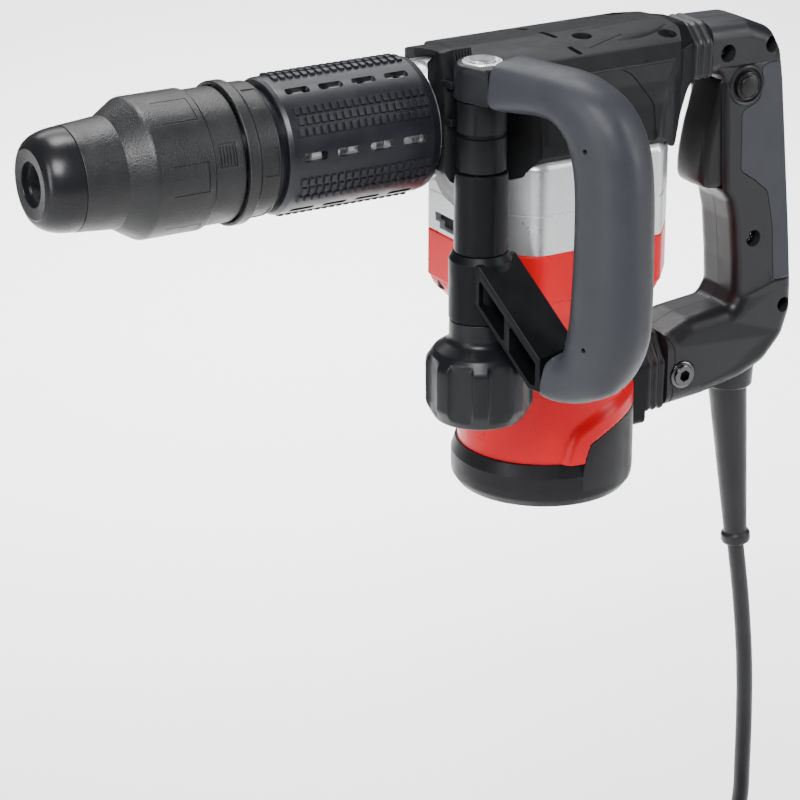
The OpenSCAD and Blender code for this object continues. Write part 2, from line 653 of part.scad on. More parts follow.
module strut_collar() color([0.12, 0.12, 0.13]) in_loop() difference() {
  union() {
    translate([0, 0, collar_bottom]) cylinder(h = tube_bottom - 0.2 - collar_bottom, r = 14.9);
    hull() {
      box([8, -strut_half, -74], [9, strut_half, -54.5]);
      box([44, -strut_half, -107.5], [45.8, strut_half, -92.5]);
    }
  }
  translate([0, 0, -200]) cylinder(h = 300, r = post_r + fit);
}
module side_knob() color([0.11, 0.11, 0.12]) translate([post_x, post_y, 0]) difference() {
  union() {
    translate([0, 0, -96]) cylinder(h = 96 + collar_bottom - 0.2, r = 14.9);
    rotate_extrude() polygon([[0, -96], [16, -96], [22, -101], [knob_r, -106], [knob_r, -127],
      [21, knob_bottom],
      [0, knob_bottom]]);
  }
  for (a = [0:45:315]) rotate([0, 0, a]) translate([knob_r + 3.6, 0, -140]) cylinder(h = 50, r = 6);
  translate([0, 0, -131.2]) cylinder(h = 60, r = post_r + fit);
}

// ---------- cord ----------
module strain_relief() color([0.08, 0.08, 0.09]) {
  union() {
    translate([relief_x, 0, -167]) rotate([0, 180 - 6, 0]) {
      cylinder(h = 89, r1 = 10, r2 = 5.9);
      translate([0, 0, 84]) cylinder(h = 7, r = 7.6);
    }
    rod_z(relief_x, 0, -168, -164.2, 10.6);
    rod_z(relief_x, 0, -164.3, -148.5, 6.1);
  }
}
module cord() color([0.05, 0.05, 0.06]) {
  sweep(cord_route, cord_d / 2, 8, [0, 1, 0]);
  sweep(cord_tail, cord_d / 2, 8, [0, 0, 1]);
}
module cord_coil() color([0.05, 0.05, 0.06]) translate([coil_x, coil_y, floor_z]) rotate_extrude()
  translate([coil_r - coil_turns_wide * cord_d / 2, 0])
    square([coil_turns_wide * cord_d, coil_turns_high * cord_d]);
module plug() color([0.06, 0.06, 0.07]) translate([plug_x, plug_y, floor_z]) {
  rotate([0, 90, 0]) translate([-13.5, 0, 0]) cylinder(h = 36, r = 13.4);
  for (s = [-9.5, 9.5]) translate([36, s, 13.5]) rotate([0, 90, 0]) cylinder(h = 19, r = 2.4);
}
module cord_tie() color([0.1, 0.1, 0.1]) translate([coil_x - coil_r, coil_y, floor_z]) difference() {
  box([-16, -4, 0], [16, 4, 38]);
  box([-13.6, -5, -1], [13.6, 5, 36.1]);
}

dust_cap();
locking_sleeve();
locking_ring();
sleeve_spring();
locking_rollers();
tool_holder();
index_ring();
front_barrel();
grip_sleeve();
cylinder_tube();
striker();
ram();
ram_seals();
piston();
wrist_pin();
connecting_rod();
crankshaft();
crank_gear();
crank_bearings();
gear_housing();
top_cover();
cover_screws();
side_panels();
front_foot();
motor_housing();
base_cap();
base_screws();
pivot_bracket();
armature();
commutator();
fan();
stator();
motor_bearings();
brush_holders();
brushes();
handle_shell_left();
handle_shell_right();
soft_insert();
handle_screws();
switch();
trigger();
lock_button();
upper_bellows();
lower_bellows();
damper_springs();
pivot_bolt();
clamp_saddle();
clamp_band();
side_post();
post_nut();
loop_core();
loop_cover();
spacer_tube();
strut_collar();
side_knob();
strain_relief();
cord();
cord_coil();
plug();
cord_tie();
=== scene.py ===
"""Electric demolition hammer with a side loop handle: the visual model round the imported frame.

Helpers take millimetres in the frame's axes: the nose points along -X, +Z is up, and the side
handle hangs on the -Y side. A point becomes metres only when its mesh is made.
"""
import json
import math

import bmesh
import bpy
from mathutils import Matrix, Vector
from mathutils.kdtree import KDTree
from mathutils.bvhtree import BVHTree


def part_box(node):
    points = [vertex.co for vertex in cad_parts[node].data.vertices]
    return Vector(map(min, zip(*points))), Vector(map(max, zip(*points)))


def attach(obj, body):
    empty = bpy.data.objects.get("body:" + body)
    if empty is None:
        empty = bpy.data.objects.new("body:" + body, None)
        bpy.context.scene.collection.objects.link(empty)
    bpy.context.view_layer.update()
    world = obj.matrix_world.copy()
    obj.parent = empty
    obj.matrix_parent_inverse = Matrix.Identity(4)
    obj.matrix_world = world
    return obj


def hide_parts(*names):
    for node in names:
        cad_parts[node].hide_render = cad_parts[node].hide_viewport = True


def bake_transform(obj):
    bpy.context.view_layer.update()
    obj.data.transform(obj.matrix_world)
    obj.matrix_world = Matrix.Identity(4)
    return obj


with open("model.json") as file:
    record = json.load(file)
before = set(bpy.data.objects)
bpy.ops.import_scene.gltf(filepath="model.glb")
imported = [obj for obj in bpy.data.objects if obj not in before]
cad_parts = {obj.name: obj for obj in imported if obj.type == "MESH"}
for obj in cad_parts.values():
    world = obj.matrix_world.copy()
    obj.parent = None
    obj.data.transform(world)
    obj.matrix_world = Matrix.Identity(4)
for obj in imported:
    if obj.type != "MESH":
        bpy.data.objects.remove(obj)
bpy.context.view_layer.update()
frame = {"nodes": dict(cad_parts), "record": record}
MM = 0.001


def box_mm(node):
    """Lowest and highest corner of a CAD node, in millimetres."""
    lo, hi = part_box(node)
    return lo / MM, hi / MM


# ---------- driving places, from the frame ----------
GRIP_START, GRIP_END = box_mm("grip_sleeve")[0].x, box_mm("grip_sleeve")[1].x
GRIP_R = box_mm("grip_sleeve")[1].z
FRONT_X = box_mm("gear_housing")[0].x
REAR_X = box_mm("gear_housing")[1].x
HALF_W = box_mm("gear_housing")[1].y
SILVER_TOP, SILVER_BOTTOM = -14.5, box_mm("gear_housing")[0].z
BAND_BOTTOM, CAP_RIM = -85.0, box_mm("motor_housing")[0].z
MOTOR_X = sum(box_mm("stator")[i].x for i in (0, 1)) / 2
MOTOR_R = 42.8
BASE_R = box_mm("base_cap")[1].y
BASE_Z = box_mm("base_cap")[0].z
COVER_TOP = box_mm("top_cover")[1].z
POST = Vector((202.0, -42.0, 0.0))
LOOP_ANGLE = math.radians(-70)
FLOOR_Z = box_mm("cord_coil")[0].z


# ---------- camera ----------
def make_camera():
    """A long lens in front of the nose, to its left and a little above."""
    right = Vector((0.8616, -0.5075, 0.0))
    up = Vector((0.1844, 0.3130, 0.9317))
    back = right.cross(up).normalized()
    data = bpy.data.cameras.new("camera")
    data.lens, data.sensor_width = 144.0, 36.0
    data.clip_start, data.clip_end = 0.05, 30.0
    cam = bpy.data.objects.new("camera", data)
    bpy.context.scene.collection.objects.link(cam)
    turn = Matrix((right, up, back)).transposed().to_4x4()
    cam.matrix_world = Matrix.Translation(Vector((-542.7, -1232.9, 420.0)) * MM) @ turn
    bpy.context.scene.camera = cam


# ---------- outlines ----------
def fillet(points, radius=1.0, steps=5):
    """A closed outline with rounded corners; a point's third number is its own corner radius."""
    out = []
    for i, p in enumerate(points):
        here = Vector(p[:2])
        to_last = Vector(points[i - 1][:2]) - here
        to_next = Vector(points[(i + 1) % len(points)][:2]) - here
        r = p[2] if len(p) > 2 else radius
        half = to_last.angle(to_next) / 2
        if r <= 0 or half > math.radians(89):
            out.append(here)
            continue
        run = min(r / math.tan(half), to_last.length * 0.49, to_next.length * 0.49)
        a, b = here + to_last.normalized() * run, here + to_next.normalized() * run
        middle = (to_last.normalized() + to_next.normalized()).normalized()
        centre = here + middle * (run / math.cos(half))
        first = math.atan2(*(a - centre).yx)
        sweep = (math.atan2(*(b - centre).yx) - first + math.pi) % math.tau - math.pi
        reach = (a - centre).length
        for k in range(steps + 1):
            t = first + sweep * k / steps
            out.append(centre + Vector((math.cos(t), math.sin(t))) * reach)
    return out


def mirrored(half, flip=0):
    """Half an outline and its mirror image, in one round; a point on the mirror line isn't doubled."""
    return half + [tuple(-c if i == flip else c for i, c in enumerate(p)) for p in reversed(half) if p[flip]]


def rect(x0, y0, x1, y1):
    return [(x0, y0), (x1, y0), (x1, y1), (x0, y1)]


def inset(outline, d):
    """The outline moved inwards by d."""
    outline = [Vector(p) for p in outline]
    n = len(outline)
    area = sum(outline[i - 1].cross(outline[i]) for i in range(n))
    side = 1 if area > 0 else -1
    out = []
    for i, p in enumerate(outline):
        before = (p - outline[i - 1]).normalized()
        after = (outline[(i + 1) % n] - p).normalized()
        na, nb = Vector((-before.y, before.x)), Vector((-after.y, after.x))
        middle = (na + nb).normalized()
        out.append(p + middle * side * d / max(0.5, middle.dot(na)))
    return out


def ellipse(a, b, steps=40, power=2.0):
    """A superellipse: power 2 is an ellipse, and a higher power is squarer."""
    out = []
    for k in range(steps):
        t = math.tau * k / steps
        c, s = math.cos(t), math.sin(t)
        out.append(Vector((a * math.copysign(abs(c) ** (2 / power), c),
            b * math.copysign(abs(s) ** (2 / power), s))))
    return out


def smooth_step(t):
    t = min(1.0, max(0.0, t))
    return t * t * (3 - 2 * t)


def ease(t):
    """From 0 to 1 with the least bending."""
    t = min(1.0, max(0.0, t))
    return 2 * t * t if t < 0.5 else 1 - 2 * (1 - t) ** 2


def through(points, per=8):
    """Points along one smooth curve through the given ones, of any number of components."""
    out = []
    last = len(points) - 1
    for i in range(last):
        p0, p1, p2, p3 = (points[min(max(j, 0), last)] for j in (i - 1, i, i + 1, i + 2))
        for k in range(per):
            t = k / per
            out.append([0.5 * (2 * b + (c - a) * t + (2 * a - 5 * b + 4 * c - d) * t * t
                               + (3 * b - a - 3 * c + d) * t ** 3) for a, b, c, d in zip(p0, p1, p2, p3)])
    return out + [list(points[last])]


# ---------- places ----------
def side(u, v, h):
    """An outline in XZ, with its height across Y."""
    return Vector((u, h, v))


def plan(u, v, h):
    """An outline in XY, with its height up Z."""
    return Vector((u, v, h))


def section(u, v, h):
    """An outline in YZ, with its height along X."""
    return Vector((h, u, v))


def loop_place(u, v, h):
    """An outline in the side loop's own plane: out from the post, up, and across."""
    c, s = math.cos(LOOP_ANGLE), math.sin(LOOP_ANGLE)
    return POST + Vector((u * c - h * s, u * s + h * c, v))


# ---------- solids ----------
def solid(name, verts, faces):
    """A closed mesh from points in millimetres."""
    bm = bmesh.new()
    made = [bm.verts.new(Vector(v) * MM) for v in verts]
    for f in faces:
        bm.faces.new([made[i] for i in f])
    bmesh.ops.remove_doubles(bm, verts=bm.verts, dist=1e-7)
    bmesh.ops.recalc_face_normals(bm, faces=bm.faces)
    mesh = bpy.data.meshes.new(name)
    bm.to_mesh(mesh)
    bm.free()
    obj = bpy.data.objects.new(name, mesh)
    bpy.context.scene.collection.objects.link(obj)
    return obj


def skin(name, rings):
    """A solid over rings of points, capped at both ends."""
    n, last = len(rings[0]), (len(rings) - 1) * len(rings[0])
    verts = [p for ring in rings for p in ring]
    faces = []
    for a in range(0, last, n):
        faces += [(a + k, a + (k + 1) % n, a + n + (k + 1) % n, a + n + k) for k in range(n)]
    faces += [tuple(range(n - 1, -1, -1)), tuple(range(last, last + n))]
    return solid(name, verts, faces)


def slab(name, outline, lo, hi, place, edge=0.0, edge_in=None, steps=4):
    """The outline between two heights, with rims rounded over by edge in height and edge_in inwards."""
    lo, hi = sorted((lo, hi))
    edge_in = edge if edge_in is None else edge_in
    levels = [(lo, 0.0), (hi, 0.0)]
    if edge:
        turn = [math.pi / 2 * k / steps for k in range(steps + 1)]
        levels = [(lo + edge * (1 - math.cos(t)), edge_in * (1 - math.sin(t))) for t in turn]
        levels += [(hi - edge * (1 - math.cos(t)), edge_in * (1 - math.sin(t))) for t in reversed(turn)]
    return skin(name, [[place(p.x, p.y, h) for p in inset(outline, d)] for h, d in levels])


def stack(name, outline, levels, place=plan):
    """The outline at each (height, inset) in turn."""
    return skin(name, [[place(p.x, p.y, h) for p in inset(outline, d)] for h, d in levels])


def lathe(name, profile, axis="X", at=(0.0, 0.0, 0.0), steps=96, shape=None):
    """A closed (along, radius) profile turned about an axis; shape may change a point's radius."""
    rings = []
    for k in range(steps):
        a = math.tau * k / steps
        ring = []
        for along, r in profile:
            r = shape(along, a, r) if shape else r
            across = (r * math.cos(a), r * math.sin(a))
            ring.append(Vector(at) + Vector({"X": (along, -across[1], across[0]), "Z": (*across, along),
                "Y": (across[0], along, across[1])}[axis]))
        rings.append(ring)
    on_axis = [abs(r) < 1e-6 for _, r in profile]
    n = len(profile)
    faces = []
    for k in range(steps):
        a, b = k * n, ((k + 1) % steps) * n
        for i in range(n):
            j = (i + 1) % n
            if not (on_axis[i] and on_axis[j]):
                faces.append((a + i, a + j, b + j, b + i))
    return solid(name, [p for ring in rings for p in ring], faces)


def sector(x0, x1, a0, a1, r0, r1, taper=0.0, steps=3):
    """A piece of a ring about the hammer axis, angles from +Z towards -Y, narrower at its top by taper."""
    verts, faces = [], []
    for i in range(steps + 1):
        for r, t in ((r0, 0.0), (r1, taper)):
            f = i / steps
            low, high = a0 + math.degrees(t / r), a1 - math.degrees(t / r)
            a = math.radians(low + (high - low) * f)
            for x in (x0 + t, x1 - t):
                verts.append((x, -r * math.sin(a), r * math.cos(a)))
    for i in range(steps):
        b = i * 4
        faces += [(b, b + 1, b + 5, b + 4), (b + 2, b + 6, b + 7, b + 3), (b, b + 4, b + 6, b + 2),
            (b + 1, b + 3, b + 7, b + 5)]
    e = steps * 4
    faces += [(0, 2, 3, 1), (e, e + 1, e + 3, e + 2)]
    return verts, faces


def gather(name, parts):
    """One mesh of many separate closed parts, each (verts, faces)."""
    verts, faces = [], []
    for v, f in parts:
        base = len(verts)
        verts += v
        faces += [tuple(base + i for i in face) for face in f]
    return solid(name, verts, faces)


def circle(middle, u, v, r, steps):
    """Points round a circle in the plane of u and v."""
    turns = [math.tau * k / steps for k in range(steps)]
    return [middle + (u * math.cos(t) + v * math.sin(t)) * r for t in turns]


def rod(name, a, b, r, r_end=None, steps=32):
    """A round bar between two points."""
    a, b = Vector(a), Vector(b)
    along = (b - a).normalized()
    u = along.orthogonal().normalized()
    v = along.cross(u)
    return skin(name, [circle(a, u, v, r, steps), circle(b, u, v, r if r_end is None else r_end, steps)])


def swept(name, path, r, steps, across):
    """A round tube along points; its rings start square to across."""
    rings = []
    for i, p in enumerate(path):
        along = (path[min(i + 1, len(path) - 1)] - path[max(i - 1, 0)]).normalized()
        u = along.cross(across).normalized()
        rings.append(circle(p, u, along.cross(u), r, steps))
    return skin(name, rings)


def applied(obj):
    """Its modifiers made part of its mesh."""
    bpy.context.view_layer.update()
    seen = obj.evaluated_get(bpy.context.evaluated_depsgraph_get())
    mesh = bpy.data.meshes.new_from_object(seen)
    obj.modifiers.clear()
    obj.data = mesh
    return obj


def combine(obj, others, operation):
    """A boolean with each of the others, which are used up."""
    for other in others:
        before = len(obj.data.polygons)
        for solver in ("MANIFOLD", "EXACT"):
            mod = obj.modifiers.new("boolean", "BOOLEAN")
            mod.operation, mod.object, mod.solver = operation, other, solver
            kept = obj.data
            applied(obj)
            if len(obj.data.polygons) and len(obj.data.polygons) != before:
                break
            obj.data = kept
        else:
            print("boolean changed nothing:", obj.name, other.name)
        bpy.data.objects.remove(other)
    return obj


def cut(obj, *others):
    return combine(obj, others, "DIFFERENCE")


def add(obj, *others):
    return combine(obj, others, "UNION")


def common(obj, *others):
    return combine(obj, others, "INTERSECT")


def copy_of(obj, name):
    twin = obj.copy()
    twin.data = obj.data.copy()
    twin.name = name
    bpy.context.scene.collection.objects.link(twin)
    return twin


def bores(obj, spots, near, far, r, r_end=None, steps=32):
    """Holes along Y at each (x, z), from both sides, between two depths."""
    for x, z in spots:
        for s in (-1, 1):
            cut(obj, rod("bore", (x, s * near, z), (x, s * far, z), r, r_end, steps))


def on_post(name, profile, steps, shape=None):
    """A lathe about the side handle's post."""
    return lathe(name, profile, "Z", (POST.x, POST.y, 0), steps, shape)


def groove(obj, points, look, r):
    """A narrow seam in the surface, under a curve of points, looking along a direction."""
    look = Vector(look).normalized()
    tree = BVHTree.FromPolygons([v.co / MM for v in obj.data.vertices],
        [p.vertices[:] for p in obj.data.polygons])
    path = []
    for p in through(points):
        hit = tree.ray_cast(Vector(p) - look * 200, look)[0]
        if hit is not None:
            path.append(hit)
    if len(path) < 3:
        print("groove missed:", obj.name)
    else:
        cut(obj, swept("groove", path, r, 8, look))


# ---------- finishing a piece ----------
MATERIALS = {}


def dress(obj, body, slot_name, nodes=(), bevel=0.0, angle=32):
    """Edge bevel, shading, material, body (none for a piece that bends) and the CAD nodes it stands for."""
    if bevel:
        mod = obj.modifiers.new("edges", "BEVEL")
        mod.width, mod.segments, mod.limit_method = bevel * MM, 2, "ANGLE"
        mod.angle_limit = math.radians(angle)
        mod.use_clamp_overlap = True
        applied(obj)
    obj.data.materials.clear()
    obj.data.materials.append(MATERIALS[slot_name])
    for face in obj.data.polygons:
        face.use_smooth = True
    obj.data.set_sharp_from_angle(angle=math.radians(angle + 8))
    mod = obj.modifiers.new("normals", "WEIGHTED_NORMAL")
    mod.keep_sharp, mod.weight = True, 60
    if body:
        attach(obj, body)
    if nodes:
        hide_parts(*nodes)
    return obj


# ---------- materials ----------
BLOTCH, FLAKE, TOOL_MARK = 30.0, 0.35, 0.6


def material(name, colour, rough, grain=0.5, depth=0.03, metal=0.0, coat=0.0, spread=0.08, vary=0.12,
        wear=0.0, lines=None, flakes=0.0, specular=0.5):
    """Moulded, painted or machined surface. grain is the bump's size and depth its height, in millimetres;
    spread varies the roughness and vary the colour in patches; wear lightens edges; lines are tool marks
    across an axis; flakes are metal flakes in paint."""
    mat = bpy.data.materials.new(name)
    mat.use_nodes = True
    tree = mat.node_tree
    nodes, link = tree.nodes, tree.links.new
    shader = nodes["Principled BSDF"]
    shader.inputs["Metallic"].default_value = metal
    shader.inputs["Coat Weight"].default_value = coat
    shader.inputs["Coat Roughness"].default_value = 0.12
    shader.inputs["Specular IOR Level"].default_value = specular
    where = nodes.new("ShaderNodeTexCoord")

    def noise(size_mm, detail=3.0, stretch=None):
        source = where.outputs["Object"]
        if stretch:
            squeeze = nodes.new("ShaderNodeMapping")
            squeeze.inputs["Scale"].default_value = stretch
            link(source, squeeze.inputs["Vector"])
            source = squeeze.outputs["Vector"]
        n = nodes.new("ShaderNodeTexNoise")
        n.inputs["Scale"].default_value = 1 / (size_mm * MM)
        n.inputs["Detail"].default_value = detail
        link(source, n.inputs["Vector"])
        return n.outputs["Fac"]

    def ramp(source, low, high, out_low, out_high):
        m = nodes.new("ShaderNodeMapRange")
        for key, value in zip(("From Min", "From Max", "To Min", "To Max"), (low, high, out_low, out_high)):
            m.inputs[key].default_value = value
        link(source, m.inputs["Value"])
        return m.outputs["Result"]

    def mixed(kind, factor, a, b):
        m = nodes.new("ShaderNodeMix")
        m.data_type, m.blend_type, m.clamp_factor = "RGBA", kind, True
        for key, value in (("Factor", factor), ("A", a), ("B", b)):
            wanted = "VALUE" if key == "Factor" else "RGBA"
            socket = [s for s in m.inputs if s.name == key and s.type == wanted][0]
            if hasattr(value, "is_linked"):
                link(value, socket)
            else:
                socket.default_value = value
        return [s for s in m.outputs if s.type == "RGBA"][0]

    patches = noise(BLOTCH, 2.0)
    dark = [c * (1 - vary) for c in colour] + [1]
    light = [min(1.0, c * (1 + vary)) for c in colour] + [1]
    tint = mixed("MIX", ramp(patches, 0.35, 0.65, 0, 1), dark, light)
    roughness = ramp(noise(BLOTCH * 0.35, 4.0), 0.3, 0.7, max(0.02, rough - spread), min(1.0, rough + spread))
    if flakes:
        cells = nodes.new("ShaderNodeTexVoronoi")
        cells.inputs["Scale"].default_value = 1 / (FLAKE * MM)
        link(where.outputs["Object"], cells.inputs["Vector"])
        grey = ramp(cells.outputs["Distance"], 0.0, 0.8, 1 + flakes, 1 - flakes)
        tint = mixed("MULTIPLY", 1.0, tint, grey)
    if wear:
        shape = nodes.new("ShaderNodeNewGeometry")
        edge = ramp(shape.outputs["Pointiness"], 0.52, 0.62, 0, wear)
        worn = [min(1.0, c * 1.9 + 0.05) for c in colour] + [1]
        tint = mixed("MIX", edge, tint, worn)
    link(tint, shader.inputs["Base Color"])
    link(roughness, shader.inputs["Roughness"])

    height = noise(grain, 2.5)
    if lines:
        stretch = [1.0 if a == lines else 0.02 for a in "XYZ"]
        height = noise(TOOL_MARK, 2.0, stretch)
    bump = nodes.new("ShaderNodeBump")
    bump.inputs["Strength"].default_value = 1.0
    bump.inputs["Distance"].default_value = depth * MM
    link(height, bump.inputs["Height"])
    link(bump.outputs["Normal"], shader.inputs["Normal"])
    return mat


def make_materials():
    """One finish for each material slot of the record."""
    looks = {
        "rubber_black": ((0.009, 0.009, 0.011), 0.28,
            dict(grain=2.5, depth=0.015, spread=0.03, specular=0.33)),
        "sleeve_plastic": ((0.0095, 0.0098, 0.011), 0.4, dict(grain=0.8, depth=0.2, wear=0.2, specular=0.48)),
        "grip_plastic": ((0.009, 0.010, 0.014), 0.38, dict(wear=0.25, specular=0.45)),
        "steel": ((0.42, 0.43, 0.45), 0.28, dict(grain=0.6, depth=0.02, metal=1.0, lines="X")),
        "spring_steel": ((0.6, 0.61, 0.63), 0.2, dict(grain=0.4, depth=0.01, metal=1.0)),
        "bare_aluminium": ((0.86, 0.87, 0.88), 0.26, dict(depth=0.015, metal=0.7, lines="X")),
        "cast_silver": ((0.76, 0.77, 0.79), 0.32,
            dict(grain=0.45, metal=0.72, flakes=0.12, vary=0.04, coat=0.1)),
        "red_plastic": ((0.68, 0.002, 0.010), 0.3, dict(depth=0.01, spread=0.03, vary=0.03, specular=0.2)),
        "cover_plastic": ((0.0048, 0.0052, 0.0064), 0.36,
            dict(grain=0.55, depth=0.07, wear=0.15, specular=0.12)),
        "cap_plastic": ((0.010, 0.010, 0.012), 0.42, dict(depth=0.05, wear=0.2, specular=0.2)),
        "handle_plastic": ((0.008, 0.0083, 0.0105), 0.36, dict(depth=0.04, wear=0.2, specular=0.28)),
        "soft_grip": ((0.032, 0.034, 0.041), 0.46, dict(grain=0.35, vary=0.06, specular=0.3)),
        "trigger_plastic": ((0.008, 0.008, 0.009), 0.3,
            dict(grain=2, depth=0.004, spread=0.01, specular=0.35)),
        "copper": ((0.62, 0.28, 0.14), 0.32, dict(depth=0.02, metal=1.0)),
        "laminations": ((0.14, 0.13, 0.13), 0.4, dict(metal=0.9, lines="Z")),
        "brass": ((0.66, 0.46, 0.18), 0.3, dict(depth=0.02, metal=1.0)),
        "carbon": ((0.02, 0.02, 0.021), 0.55, dict(grain=0.4, depth=0.04)),
        "screw_steel": ((0.11, 0.11, 0.115), 0.22, dict(depth=0.02, metal=1.0)),
        "cord_rubber": ((0.012, 0.012, 0.014), 0.4, dict(grain=0.6, specular=0.35)),
        "fan_plastic": ((0.05, 0.05, 0.055), 0.5, dict(depth=0.04)),
    }
    for name, (colour, rough, more) in looks.items():
        MATERIALS[name] = material(name, colour, rough, **more)
    slots = {s["node"]: s["material_slot"] for s in frame["record"]["subparts"]}
    for name, node in frame["nodes"].items():
        node.data.materials.clear()
        node.data.materials.append(MATERIALS[slots[name]])


# ---------- cord ----------
CORD_R = 4.5
CORD_ROUTE = [(387.2, 0, -258), (390, 0, -275), (393.5, 0, -300), (396.5, 0, -330), (397.8, 0, -360),
    (398, 0, -390), (397.7, 0, -410), (395.3, 0, -422.5), (389.5, 0, -433), (381, 0, -440), (370, 0, -443.8),
    (358, 0, -444.5)]
CORD_TAIL = [(358, -118.3, -470.9), (371, -120.5, -468.6), (384, -125.3, -465), (392, -128, -463.2),
    (399, -129, -462.5)]
COIL_CENTRE = Vector((345, -59))
COIL_LAYERS, COIL_TURNS, COIL_R = 4, 3, 59.0
COIL_DEGREES, LAYER_DEGREES, SHIFT_DEGREES, STEP_DEGREES = 3780, 910, 85, 15


def coil_points():
    """Turns side by side in layers: each turn ends in a short shift, and each layer in a short drop."""
    pitch, move, layer = 2 * CORD_R, SHIFT_DEGREES, LAYER_DEGREES
    top = FLOOR_Z + pitch * (COIL_LAYERS - 0.5)
    points = []
    for a in range(0, COIL_DEGREES + 1, STEP_DEGREES):
        r, z = COIL_R, top
        for i in range(COIL_LAYERS):
            inwards = -1 if i % 2 == 0 else 1
            for j in range(1, COIL_TURNS):
                r += inwards * pitch * ease((a - (layer * i + 360 * j - move)) / move)
            if i < COIL_LAYERS - 1:
                z -= pitch * ease((a - layer * (i + 1)) / move)
        t = math.radians(90 + a)
        points.append((COIL_CENTRE.x + r * math.cos(t), COIL_CENTRE.y + r * math.sin(t), z))
    return points


def make_cord():
    """The mains lead: down from the strain relief, into a coil on the floor, and out to its plug."""
    data = bpy.data.curves.new("mains_cord", "CURVE")
    data.dimensions = "3D"
    data.bevel_depth, data.bevel_resolution, data.resolution_u = CORD_R * MM, 3, 4
    data.use_fill_caps = True
    points = CORD_ROUTE + coil_points() + CORD_TAIL
    line = data.splines.new("BEZIER")
    line.bezier_points.add(len(points) - 1)
    for spot, p in zip(line.bezier_points, points):
        spot.co = Vector(p) * MM
        spot.handle_left_type = spot.handle_right_type = "AUTO"
    cord = bpy.data.objects.new("mains_cord", data)
    bpy.context.scene.collection.objects.link(cord)
    data.materials.append(MATERIALS["cord_rubber"])
    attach(cord, "rear_handle")
    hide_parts("cord", "cord_coil")
    return cord


def make_strain_relief():
    """Collar under the handle, a long taper with a shallow step, and an end ring."""
    top = Vector((378, 0, -167))
    down = Vector((math.sin(math.radians(6)), 0, -math.cos(math.radians(6))))
    u = Vector((0, 1, 0))
    v = down.cross(u)
    stations = [(-2.8, 9.6), (-2, 10.4), (0, 10.4), (1.2, 9.9), (30, 8.6), (60, 7.2), (82, 6.1), (84, 6.2),
        (85, 7.3), (86, 7.7), (89, 7.7), (90.2, 7.2), (91, 5.8)]
    rings = [circle(top + down * s, u, v, r, 40) for s, r in stations]
    relief = skin("strain_relief_skin", rings)
    add(relief, rod("inner", (378, 0, -150), (378, 0, -166), 6.0))
    return dress(relief, "rear_handle", "cord_rubber", ["strain_relief"])


def make_plug():
    """A round two-pin plug: a ribbed grip that narrows towards its cord, and two pins."""
    lo, hi = box_mm("plug")
    y, z = (lo.y + hi.y) / 2, FLOOR_Z + 13.5
    profile = [(lo.x, 0), (lo.x, 5.6), (lo.x + 1, 6.3), (lo.x + 8, 7.4), (lo.x + 13, 10.2), (lo.x + 19, 12.2),
        (lo.x + 30, 13.0), (lo.x + 31, 13.4), (lo.x + 35, 13.4), (lo.x + 36, 12.6), (lo.x + 36, 0)]

    def ribs(along, a, r):
        inside = smooth_step((along - lo.x - 12) / 4) * smooth_step((lo.x + 30 - along) / 3)
        return r - 0.7 * inside * max(0.0, math.cos(a * 12)) if r > 5 else r
    body = lathe("plug_body", through_profile(profile, 1.6), at=(0, y, z), steps=144, shape=ribs)
    add(body, *[rod("pin", (hi.x - 21, y + s, z), (hi.x, y + s, z), 2.4) for s in (-9.5, 9.5)])
    return dress(body, "rear_handle", "cord_rubber", ["plug"])


def through_profile(points, step):
    """More points along a profile's straight stretches, so that a radius change has points to move."""
    out = []
    for a, b in zip(points, points[1:]):
        a, b = Vector(a), Vector(b)
        per = max(1, math.ceil((b - a).length / step))
        out += [tuple(a.lerp(b, k / per)) for k in range(per)]
    return out + [tuple(points[-1])]


def make_cord_parts():
    cord = make_cord()
    relief = make_strain_relief()
    plug = make_plug()


# ---------- nose and barrel ----------
def make_nose():
    """Rubber cap: a domed ring with a flat lip round the bore."""
    dome = []
    for k in range(14):
        t = math.radians(6 + 84 * k / 13)
        dome.append((12.6 - 16.2 * math.cos(t), 16.4 + 7.3 * math.sin(t)))
    lip = fillet([(-0.1, 17.1, 0), (-0.1, 10.2, 0), (-3.6, 10.2, 0.5), (-4, 15.9, 0.8), (-3.0, 17.4, 0.2)],
        0.5)[:-1]
    profile = lip + dome + [(12.6, 17.1)]
    dress(lathe("nose_cap", profile, steps=128), "spindle", "rubber_black", ["dust_cap"])


def c_marks(x0, x1, a0, a1, r0, r1, w=0.45):
    """Three thin lines that outline a pad, open at its front."""
    da = math.degrees(w / r1)
    return [sector(x0, x1, a0, a0 + da, r0, r1), sector(x0, x1, a1 - da, a1, r0, r1),
        sector(x1 - w, x1, a0 + da * 0.98, a1 - da * 0.98, r0, r1, steps=12)]


